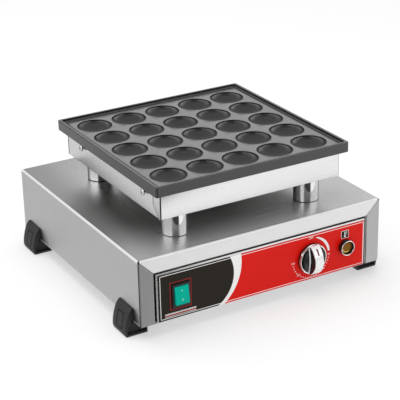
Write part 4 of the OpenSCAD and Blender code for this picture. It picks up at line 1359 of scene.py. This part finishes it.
@dataclass
class HeaterHousing:
    """The pressed box under the plate, with end sheets and tabs folded round its corners."""

    half: float = 140.0
    centre_y: float = -18.0
    low: float = 150.5
    high: float = 187.0
    wall: float = 0.9
    sheet: float = 0.8
    slit: float = 1.6
    set_back: float = 2.5
    bend: float = 1.2
    tab: float = 17.0
    tab_thick: float = 0.4
    shadow: float = 2.1
    shadow_thick: float = 0.06

    def box(self) -> Object:
        """The open box, with end walls painted dark as shade behind the sheets and painted shade on its
        underside.

        Returns:
            The piece without its sheets.
        """
        side, end, b = self.half, self.half - self.set_back, self.bend
        rows = []
        for drop, rise in [(b, 0.0), (0.5 * b, 0.13 * b), (0.13 * b, 0.5 * b), (0.0, b), (0.0, b + 0.3)]:
            line = rounded_rect(drop - side, side - drop, drop - end, end - drop, 0.8)
            rows.append([(x, self.centre_y + y, self.low + rise) for x, y in line])
        rows.append([(x, y, self.high) for x, y, _ in rows[-1]])
        bm = loft(rows, caps=False)
        bm.verts.ensure_lookup_table()
        bm.faces.new(list(reversed(bm.verts[: len(rows[0])])))
        bmesh.ops.recalc_face_normals(bm, faces=bm.faces)
        bm.normal_update()
        if max(bm.faces, key=lambda f: f.calc_area()).normal.z > 0:
            bmesh.ops.reverse_faces(bm, faces=bm.faces)
        for face in bm.faces:
            # end walls take the near-black finish and the underside the shade gradient: both painted shade
            face.material_index = 1 if abs(face.normal.y) > 0.5 else 2 * int(face.normal.z < -0.9)
        return walled(piece("heater_box", bm, [SATIN, PAINTED_SHADE, SHADED_UNDERSIDE]), self.wall)

    def end_sheet(self, turn: float) -> BMesh:
        """The front sheet, or the back one after half a turn.

        Args:
            turn: the turn in radians.

        Returns:
            The closed mesh.
        """
        line = rounded_rect(self.slit - self.half, self.half - 0.1, self.low, self.high, 0.5)
        bm = prism(line, 0.0, self.sheet)
        bm.transform(Matrix.Rotation(turn, 4, "Z") @ facing_front(0, self.sheet - self.half, 0))
        bm.transform(Matrix.Translation((0, self.centre_y, 0)))
        return bm

    def corner_tab(self, name: str, side: int) -> Object:
        """One tab that is folded round a front corner, with a thin dark plate behind it that paints the
        shadow line it casts on the box.

        Args:
            name: name of the piece.
            side: -1 for the left one, 1 for the right one.

        Returns:
            The tab.
        """
        t, tall = self.tab, self.high - self.low
        line = [(0.0, 0.0), (t / 8, 0.0), (t, 0.45 * tall), (t, tall), (0.0, tall)]
        plates = []
        for wider, thick in ((0.0, self.tab_thick), (self.shadow, self.shadow_thick)):
            across = [(self.centre_y - self.half + run + wider * (run > 0), self.low + up)
                      for run, up in line]
            faces = (side * self.half, side * (self.half + thick))
            plates.append(loft([[(x, y, z) for y, z in across] for x in faces]))
        for face in plates[1].faces:
            face.material_index = 1
        tab = rounded(piece("tab", plates[0], [SATIN]), 0.15, 2)
        both = merged([opened(tab.data), plates[1]])
        bpy.data.objects.remove(tab)
        return piece(name, both, [SATIN, PAINTED_SHADE], smooth=0.0)

    def build(self) -> None:
        """Makes the box, its sheets and its tabs."""
        fit(self.box(), Body.BASE, Slot.SATIN, "heater_housing")
        for end, side, turn, sign in (("front", "left", 0.0, -1), ("back", "right", math.pi, 1)):
            sheet = piece(f"heater_sheet_{end}", self.end_sheet(turn), [SATIN])
            fit(rounded(sheet, 0.3, 2), Body.BASE, Slot.SATIN)
            fit(self.corner_tab(f"heater_tab_{side}", sign), Body.BASE, Slot.SATIN)


@dataclass
class BakePlate:
    """The cast plate with its rim, deck and hollows."""

    half: float = 150.0
    centre_y: float = -18.0
    under: float = 177.0
    low: float = 187.0
    top: float = 202.0
    deck: float = 197.5
    core: float = 138.0
    corner: float = 3.0
    rim_w: float = 4.0
    ledge: Pair = (4.8, 8.8)
    count: int = 5
    pitch: float = 55.0
    mouth_r: float = 25.0
    depth: float = 11.0
    sag: float = 3.0
    step: float = 1.8
    floor_r: float = 17.5
    wall_lean: float = 56.0
    lip: float = 0.55

    def dish(self) -> Outline:
        """Section of a hollow: a shallow bottom that turns up into a steep wall.

        Returns:
            Radius and height of each ring below the deck, from the middle outwards.
        """
        ball = (self.floor_r**2 + self.sag**2) / (2 * self.sag)
        radii = [self.floor_r * i / 8 for i in range(1, 9)]
        line = [(r, ball - self.depth - math.sqrt(ball**2 - r**2)) for r in radii]
        first, last = math.asin(self.floor_r / ball), math.radians(self.wall_lean)
        bend = []
        for i in range(1, 9):
            a = first + (last - first) * i / 8
            bend.append((math.sin(a) - math.sin(first), math.cos(first) - math.cos(a)))
        (run, drop), slope = bend[-1], math.tan(last)
        reach = self.mouth_r - 0.45 * self.lip
        turn = (self.depth - self.sag - self.step - (reach - self.floor_r) * slope) / (drop - run * slope)
        line += [(self.floor_r + turn * run, self.sag - self.depth + turn * drop) for run, drop in bend]
        return line + [(reach, -self.step)]

    def hollow(self) -> Object:
        """One square of deck with its round hollow.

        Returns:
            The part, about its own centre.
        """
        h, n = self.pitch / 2, 16
        edge = [(h, -h + 2 * h * i / n) for i in range(n)] + [(h - 2 * h * i / n, h) for i in range(n)]
        edge += [(-x, -y) for x, y in edge]
        angles = [math.atan2(y, x) for x, y in edge]
        rings = [(r, z, 0.0, 1.0 if i < 11 else 0.35) for i, (r, z) in enumerate(self.dish())]
        r = rings[-1][0]
        for dr, z, rub in ((0.15, -0.5, 0.0), (0.35, -0.25, 0.1), (0.75, -0.06, 0.3), (1.25, 0.0, 0.1)):
            rings.append((r + dr * self.lip, z, rub, 0.0))
        bm = bmesh.new()
        worn, inside = (bm.verts.layers.float.new(name) for name in ("worn", "inside"))
        pole = bm.verts.new((0, 0, -self.depth))
        pole[inside] = 1.0
        rows = []
        for r, z, rub, matt in rings:
            rows.append([bm.verts.new((r * math.cos(a), r * math.sin(a), z)) for a in angles])
            for v in rows[-1]:
                v[worn], v[inside] = rub, matt
        rows.append([bm.verts.new((x, y, 0)) for x, y in edge])
        for i in range(len(edge)):
            j = (i + 1) % len(edge)
            bm.faces.new((pole, rows[0][i], rows[0][j]))
            for last, row in zip(rows, rows[1:]):
                bm.faces.new((last[i], row[i], row[j], last[j]))
        return piece("hollow", bm, [COATING], Matrix.Translation((0, 0, self.deck)))

    def rim(self) -> BMesh:
        """Core, outer wall, rim and stepped inner wall.

        Returns:
            The mesh, open at the deck.
        """
        h, top, low, deck, core = self.half, self.top, self.low, self.deck, self.half - self.core
        rows = [(core + 1.0, self.under, 0), (core, self.under + 1.0, 0), (core, low, 0), (0.9, low, 0),
                (0.3, low + 0.25, 0.2), (0.0, low + 0.9, 0.2), (0.0, low + 1.6, 0), (0.0, top - 2.2, 0),
                (0.0, top - 1.4, 0.6), (0.1, top - 0.8, 1.0), (0.42, top - 0.36, 1.0), (0.9, top - 0.08, 0.8),
                (1.4, top, 0.3), (1.9, top, 0.1), (3.6, top, 0.1), (4.1, top - 0.12, 0.6),
                (4.45, top - 0.4, 0.8), (4.6, top - 0.9, 0), (4.65, top - 2.7, 0), (4.9, top - 3.15, 0),
                (5.2, top - 3.3, 0), (8.0, top - 3.35, 0), (8.3, top - 3.45, 0), (8.5, top - 3.7, 0),
                (8.6, deck + 0.3, 0), (9.0, deck, 0)]
        lines = []
        for inset, z, _ in rows:
            half = h - inset
            line = rounded_rect(-half, half, self.centre_y - half, self.centre_y + half, self.corner, 6)
            lines.append([(x, y, z) for x, y in line])
        bm = loft(lines, caps=False)
        worn, inside = (bm.verts.layers.float.new(name) for name in ("worn", "inside"))
        bm.verts.ensure_lookup_table()
        n = len(lines[0])
        for i, (inset, _, rub) in enumerate(rows):
            for v in bm.verts[i * n : (i + 1) * n]:
                v[worn], v[inside] = rub, 2.0 * (self.ledge[0] < inset < self.ledge[1])
        bm.faces.new(list(reversed(bm.verts[:n])))
        return bm

    def build(self, tree: HollowTree) -> None:
        """Lays the hollows, joins them to the rim and dresses the plate.

        Args:
            tree: the tree that lays the hollows.
        """
        one = self.hollow()
        laid = tree.grow("hollow_deck", COATING, Hollow=one, Count=self.count, Pitch=self.pitch * MM)
        bm = opened(laid.data)
        bm.transform(Matrix.Translation((0, self.centre_y, 0)))
        for scrap in (one, laid):
            bpy.data.objects.remove(scrap)
        whole = merged([bm, self.rim()])
        open_edges = [e for e in whole.edges if e.is_boundary]
        bmesh.ops.triangle_fill(whole, edges=open_edges, use_beauty=True, normal=(0, 0, 1))
        bmesh.ops.recalc_face_normals(whole, faces=whole.faces)
        for face in whole.faces:
            x, y, z = face.calc_center_median()
            inner = max(abs(x), abs(y - self.centre_y)) < self.half - self.rim_w
            steep = abs(face.normal.z) < 0.4 and z > self.deck - self.step
            dished = self.deck - self.depth < z < self.deck - self.step
            wall = not inner or dished or 0.4 < face.normal.z < 0.82
            # steep faces inside the rim take the near-black finish as painted shade
            face.material_index = 1 if inner and steep else 2 * int(wall)
        plate = piece("cast_plate", whole, [COATING, RIM_SHADE, CAST_SIDE], smooth=50.0)
        fit(plate, Body.BASE, Slot.CAST, "bake_plate")


@dataclass
class Knob:
    """The thermostat knob: bright ring, dark inlay and a half-moon grip."""

    x: float = 76.0
    back: float = -187.8
    z: float = 53.0
    radius: float = 22.0
    ring_w: float = 2.3
    skirt: float = 6.0
    cone_r: float = 20.5
    rise: float = 3.0
    grip: float = 7.0
    reach: float = 20.6
    height: float = 21.0
    crown: float = 24.0
    line_from: float = 10.5
    line_length: float = 8.0

    def crown_at(self, t: float) -> float:
        """Height of the grip's top line at a place along it."""
        return self.height - self.crown + math.sqrt(self.crown**2 - t * t)

    def cone_at(self, r: float) -> float:
        """Height of the inlay at a radius."""
        share = min(1.0, max(0.0, (self.cone_r - r) / (self.cone_r - self.grip)))
        return self.skirt - 0.6 + self.rise * share

    def ring(self) -> BMesh:
        """The bright ring, with a groove that doubles its edge line; its upright side below the groove takes
        the black finish as painted shade.

        Returns:
            The closed mesh.
        """
        r, h, w = self.radius, self.skirt, self.ring_w
        edge = [(0.5, h), (0.0, h - 0.5), (0.0, 2.2), (0.25, 1.7), (0.7, 1.5), (0.85, 1.2), (0.8, 0.6),
                (1.0, 0.2), (1.5, 0.0), (2.0, 0.1), (w, 0.6), (w, h), (0.5, h)]
        return dark_walls(lathe([(r - inset, h - drop) for inset, drop in edge], 96), h - 2.2)

    def inlay(self) -> BMesh:
        """The dark dished face between ring and grip.

        Returns:
            The closed mesh.
        """
        r = self.radius - self.ring_w
        radii = [r * (1 - i / 10) for i in range(1, 8)]
        line = [(0.0, 0.6), (r, 0.6), (r, self.skirt - 0.9), *((q, self.cone_at(q)) for q in radii)]
        return lathe(line + [(0.0, self.cone_at(5.0))], 96)

    def handle(self) -> BMesh:
        """The half-moon grip with a small flare at its foot; its flat sides take the black finish as a
        painted dark reflection.

        Returns:
            The closed mesh.
        """
        g, reach, rows = self.grip, self.reach, []
        foot = [(1.5, 0.0), (1.3, 0.55), (0.6, 0.85), (0.2, 1.3), (0.0, 2.0)]
        edge = [(0.05, 1.0), (0.22, 0.45), (0.6, 0.12), (1.1, 0.0)]
        places = [-reach + 0.5 * (1 - math.cos(math.radians(a))) for a in (0, 30, 60, 90)]
        places += [float(t) for t in range(-19, 20)]
        places += [-p for p in reversed(places[:4])]
        for t in places:
            shrink = 0.5 - math.sqrt(max(0.0, 0.25 - max(0.0, abs(t) - (reach - 0.5)) ** 2))
            top = self.crown_at(t) - shrink
            seat = self.cone_at(math.hypot(t, g)) - 0.4
            half = [(g + out, seat + up) for out, up in foot]
            half += [(g - inset, top - drop) for inset, drop in edge]
            half = [(x - shrink, min(h, top)) for x, h in half]
            rows.append([(x, t, h) for x, h in half] + [(-x, t, h) for x, h in reversed(half)])
        bm = loft(rows)
        # painted dark reflection: the grip's flat sides take the black finish
        for face in bm.faces:
            face.material_index = int(abs(face.normal.x) > 0.95 and face.calc_center_median().z > self.skirt)
        return bm

    def pointer(self) -> BMesh:
        """The painted line on the grip's upper end.

        Returns:
            The closed mesh.
        """
        rows = []
        for i in range(9):
            t = self.line_from + self.line_length * i / 8
            w, h = 1.25 if 0 < i < 8 else 0.9, self.crown_at(t)
            rows.append([(-w, t, h - 0.3), (w, t, h - 0.3), (w, t, h + 0.12), (-w, t, h + 0.12)])
        return loft(rows)

    def build(self) -> None:
        """Makes the knob's four pieces."""
        place = facing_front(self.x, self.back, self.z)
        fit(piece("knob_grip", self.handle(), [SILVER, INLAY_AND_SHADE], place, 28.0), Body.KNOB, Slot.KNOB, "knob")
        fit(piece("knob_ring", self.ring(), [CHROME, INLAY_AND_SHADE], place), Body.KNOB, Slot.KNOB)
        fit(piece("knob_inlay", self.inlay(), [INLAY_AND_SHADE], place), Body.KNOB, Slot.KNOB)
        fit(piece("knob_line", self.pointer(), [POINTER], place), Body.KNOB, Slot.POINTER, "knob_pointer")


@dataclass
class RockerSwitch:
    """The lit rocker in its bezel."""

    x: float = -129.0
    pivot_y: float = -184.9
    z: float = 53.0
    tilt: float = math.radians(-9.0)
    front: float = 7.0
    bar: Box = (-0.5, 0.5, 4.8, 7.8)
    ring_z: float = -6.4
    ring_r: Pair = (1.4, 0.85)
    ink: Pair = (-0.1, 0.06)

    def marks(self) -> BMesh:
        """The bar and the ring that mark on and off, on the rocker's own face."""
        outer, inner = (arc((0.0, self.ring_z), r, 0, 345, 23) for r in self.ring_r)
        return merged([prism(rounded_rect(*self.bar, 0.3), *self.ink), prism(outer, *self.ink, inner)])

    def build(self) -> None:
        """Makes bezel, rocker and marks."""
        fit(recut("switch_body", "switch_bezel", SWITCH, 0.7, 3), Body.BASE, Slot.SWITCH, "switch_body")
        fit(recut("switch_rocker", "rocker_paddle", GREEN, 0.8, 3), Body.ROCKER, Slot.ROCKER, "switch_rocker")
        place = Matrix.Translation((self.x, self.pivot_y, self.z)) @ Matrix.Rotation(self.tilt, 4, "X")
        seat = place @ facing_front(0, -self.front, 0)
        fit(piece("rocker_marks", self.marks(), [MARK], seat), Body.ROCKER, Slot.ROCKER)


@dataclass
class PilotLamp:
    """The pilot lamp: a bright collar round a sunk amber lens."""

    x: float = 132.5
    face: float = -186.9
    z: float = 56.0
    radius: float = 11.0
    wall: float = 2.0
    height: float = 8.5
    sink: float = 3.5
    bead: float = 0.65
    dome: float = 0.8

    def collar(self) -> BMesh:
        """The collar with a rolled rim; its side and throat take the black finish as painted shade.

        Returns:
            The closed mesh.
        """
        r, h, b, inner = self.radius, self.height, self.bead, self.radius - self.wall
        rim = arc((r - b, h - b), b, 0, 180, 10)
        line = [(inner, 0.0), (r - 0.3, 0.0), (r, 0.3), *rim, (inner, h - 3.0), (inner, 1.2), (inner, 0.0)]
        return dark_walls(lathe(line, 72), h - 1.0)

    def lens(self) -> BMesh:
        """The shallow domed lens.

        Returns:
            The closed mesh.
        """
        r, h, d = self.radius - self.wall - 0.05, self.height - self.sink, self.dome
        dome = [(r * c, h - d + d * s) for c, s in arc((0.0, 0.0), 1.0, 0, 81, 9)]
        return lathe([(0.0, 0.6), (r, 0.6), *dome, (0.0, h)], 60)

    def build(self) -> None:
        """Makes the collar and the lens."""
        place = facing_front(self.x, self.face, self.z)
        amber = Lens("lamp_amber", centre=(self.x * MM, 0.0, self.z * MM))
        collar = piece("lamp_collar", self.collar(), [CHROME, INLAY_AND_SHADE], place)
        fit(collar, Body.BASE, Slot.LAMP_RING, "lamp_ring")
        fit(piece("lamp_cover", self.lens(), [amber], place), Body.BASE, Slot.LAMP_LENS, "lamp_lens")


@dataclass
class PackedNodes:
    """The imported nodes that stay, with the finish of each."""

    gland_edge: float = 0.6
    groups: ClassVar[dict[Finish, str]] = {
        BLACK_INK: "front_label",
        PLATED: "floor_pan foot_nuts floor_nuts tie_rods tie_washers tie_nuts side_nuts clamp_plate"
                " clamp_studs clamp_nuts thermostat_shaft thermostat_screws lamp_nut earth_nut",
        ELEMENT: "heating_element sensor_bulb",
        COPPER: "capillary_tube",
        BRASS: "switch_terminals terminal_screws earth_stud",
        SLEEVE: "heater_leads control_leads",
        PALE: "thermostat_body terminal_block",
        FIBRE: "insulation_mat",
        GLAND: "gland_locknut",
    }

    def build(self) -> None:
        """Dresses the nodes that stay, and rounds the gland that shows behind."""
        for node, name in (("cable_gland", "gland_body"), ("gland_cap", "gland_nut")):
            fit(recut(node, name, GLAND, self.gland_edge), Body.BASE, Slot.GLAND, node)
        for finish, nodes in self.groups.items():
            for node in nodes.split():
                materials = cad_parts[node].data.materials
                materials.clear()
                materials.append(finish.material())
                LOG.info("%s stays, in %s", node, finish.name)


# ------------------------------------------------------------------- studio


@dataclass
class Studio:
    """Camera, floor, world and lamp, in metres."""

    azimuth: float = -29.335
    elevation: float = 23.4632
    roll: float = -1.3755
    lens: float = 126.96
    station: tuple[float, float, float] = (-0.91021, -1.63449, 0.90073)
    floor_half: float = 6.0
    floor_tone: Pair = (0.72, 0.40)
    floor_lift: float = 0.46
    lamp_at: tuple[float, float, float] = (-0.35, 0.25, 2.4)
    lamp_aim: tuple[float, float, float] = (0.0, 0.0, 0.1)
    lamp_size: float = 2.2
    lamp_power: float = 40.0
    dark_side: Pair = (-0.33, -0.944)
    bright_side: Pair = (0.49, -0.872)
    box_side: Pair = (0.49, 0.872)
    side_level: float = 2.8
    left_cut: float = 0.7
    between: float = 0.15
    gap_cut: float = 0.95
    gap_edge: Pair = (0.850, 0.900)
    gap_top: Pair = (0.96, 0.995)
    horizon: Pair = (-0.06, 0.0)
    side_low: Pair = (0.22, 0.32)
    side_high: Pair = (0.50, 0.60)
    side_back: Pair = (0.55, 0.72)
    left_y: Pair = (0.60, 0.80)
    left_x: Pair = (-0.4, -0.2)
    wall_top: Pair = (0.45, 0.60)
    box_edge: Pair = (0.913, 0.978)
    table_light: Pair = (0.92, 0.16)
    room_level: float = 0.95
    peak: float = 1.6
    sky: tuple[Pair, ...] = (
        (-1.0, 0.97), (-0.04, 0.97), (0.0, 0.14), (0.20, 0.14), (0.28, 1.45), (0.52, 1.45), (0.64, 0.65),
        (0.72, 0.40), (0.90, 0.35), (0.97, 0.6), (1.0, 0.8))

    def camera(self) -> None:
        """Sets the camera at the photograph's place."""
        a, e, r = (math.radians(v) for v in (self.azimuth, self.elevation, self.roll))
        back = Vector((math.sin(a) * math.cos(e), -math.cos(a) * math.cos(e), math.sin(e)))
        right = Vector((math.cos(a), math.sin(a), 0.0))
        up = back.cross(right)
        across = right * math.cos(r) + up * math.sin(r)
        upward = up * math.cos(r) - right * math.sin(r)
        data = bpy.data.cameras.new("camera")
        data.lens, data.sensor_width = self.lens, 36.0
        data.clip_start, data.clip_end = 0.05, 50.0
        cam = bpy.data.objects.new("camera", data)
        turn = Matrix((across, upward, back)).transposed().to_4x4()
        cam.matrix_world = Matrix.Translation(self.station) @ turn
        bpy.context.scene.collection.objects.link(cam)
        bpy.context.scene.camera = cam

    def floor(self) -> None:
        """Lays the pale floor, white to the camera and to reflections."""
        paint = Paint("studio_floor")
        shown = (paint.ray("Camera") + paint.ray("Glossy") + paint.ray("Transmission")).at_most(1.0)
        plain, pale = (
            paint.node("ShaderNodeBsdfDiffuse", {"Color": (v, v, v, 1.0)}) for v in self.floor_tone)
        lift = paint.node("ShaderNodeEmission", {"Color": (1, 1, 1, 1), "Strength": self.floor_lift})
        white = paint.node("ShaderNodeAddShader", {0: pale, 1: lift})
        mix = paint.node("ShaderNodeMixShader", {0: shown, 1: plain, 2: white})
        paint.node("ShaderNodeOutputMaterial", {"Surface": mix})
        h = self.floor_half / MM
        bm = bmesh.new()
        bm.faces.new([bm.verts.new(p) for p in ((-h, -h, 0), (h, -h, 0), (h, h, 0), (-h, h, 0))])
        obj = piece("studio_floor", bm, [])
        obj.data.materials.append(paint.material)
        obj.visible_glossy = False

    def reflected(self, sheet: NodeSheet) -> Socket:
        """The room's brightness in reflections, by direction.

        Args:
            sheet: the world's sheet.

        Returns:
            The brightness as a socket.
        """
        ease = sheet.ease
        x, y, z = sheet.split(sheet.take("ShaderNodeTexCoord", None, "Generated"))
        flat = ((x * x + y * y) ** 0.5).at_least(0.0001)
        towards, bright, back = (
            (x * side[0] + y * side[1]) / flat for side in (self.dark_side, self.bright_side, self.box_side))
        gap = ease(towards, *self.gap_edge) * (1.0 - ease(z, *self.gap_top))
        low = 1.0 - ease(z, *self.horizon)
        stops = [(place * 0.5 + 0.5, (level / self.peak,) * 3) for place, level in self.sky]
        ramp = sheet.take("ShaderNodeValToRGB", {"Fac": z * 0.5 + 0.5}, stops=stops) * self.peak
        beside = ease(z, *self.side_low) * (1.0 - ease(z, *self.side_high))
        beside = beside * (1.0 - ease(back, *self.side_back))
        left = ease(y / flat, *self.left_y) * (1.0 - ease(x / flat, *self.left_x))
        beside = beside * (1.0 - left * self.left_cut)
        wall = 1.0 - ease(z, *self.wall_top)
        dim = wall * (1.0 - ease(back, *self.box_edge)) * (1.0 - low) * (1.0 - self.between)
        level, tilt = self.table_light
        under = 1.0 - low + low * (level + bright * tilt)
        lit = ramp * (1.0 - dim) * (1.0 - beside) * under + beside * self.side_level
        return (1.0 - gap * self.gap_cut) * lit

    def world(self) -> None:
        """A white room: even to the camera, graded in reflections."""
        world = bpy.data.worlds.new("studio")
        bpy.context.scene.world = world
        world.use_nodes = True
        sheet = NodeSheet(world.node_tree)
        levels = (self.room_level, self.reflected(sheet), 1.0)
        plain, glossy, white = (
            sheet.node("ShaderNodeBackground", {"Color": (1, 1, 1, 1), "Strength": level})
            for level in levels)
        shine = sheet.ray("Glossy").at_least(sheet.ray("Transmission"))
        first = sheet.node("ShaderNodeMixShader", {0: shine, 1: plain, 2: glossy})
        last = sheet.node("ShaderNodeMixShader", {0: sheet.ray("Camera"), 1: first, 2: white})
        sheet.node("ShaderNodeOutputWorld", {"Surface": last})

    def lamp(self) -> None:
        """Hangs one soft box."""
        data = bpy.data.lights.new("soft_box", "AREA")
        data.size, data.energy = self.lamp_size, self.lamp_power
        obj = bpy.data.objects.new("soft_box", data)
        obj.location = self.lamp_at
        obj.visible_glossy = False
        obj.rotation_mode = "QUATERNION"
        obj.rotation_quaternion = (Vector(self.lamp_aim) - Vector(self.lamp_at)).to_track_quat("-Z", "Y")
        bpy.context.scene.collection.objects.link(obj)

    def build(self) -> None:
        """Sets up the studio."""
        self.camera()
        self.floor()
        self.world()
        self.lamp()
        bpy.context.scene.view_settings.view_transform = "Standard"


def main() -> None:
    """Builds the studio and the cooker in order."""
    logging.basicConfig(level=logging.INFO, format="%(message)s")
    Studio().build()
    BaseShell().build()
    FrontLabel().build(DotTree())
    Foot().build()
    Fasteners().build(RepeatTree())
    Columns().build()
    HeaterHousing().build()
    BakePlate().build(HollowTree())
    Knob().build()
    RockerSwitch().build()
    PilotLamp().build()
    PackedNodes().build()


if __name__ == "__main__":
    main()
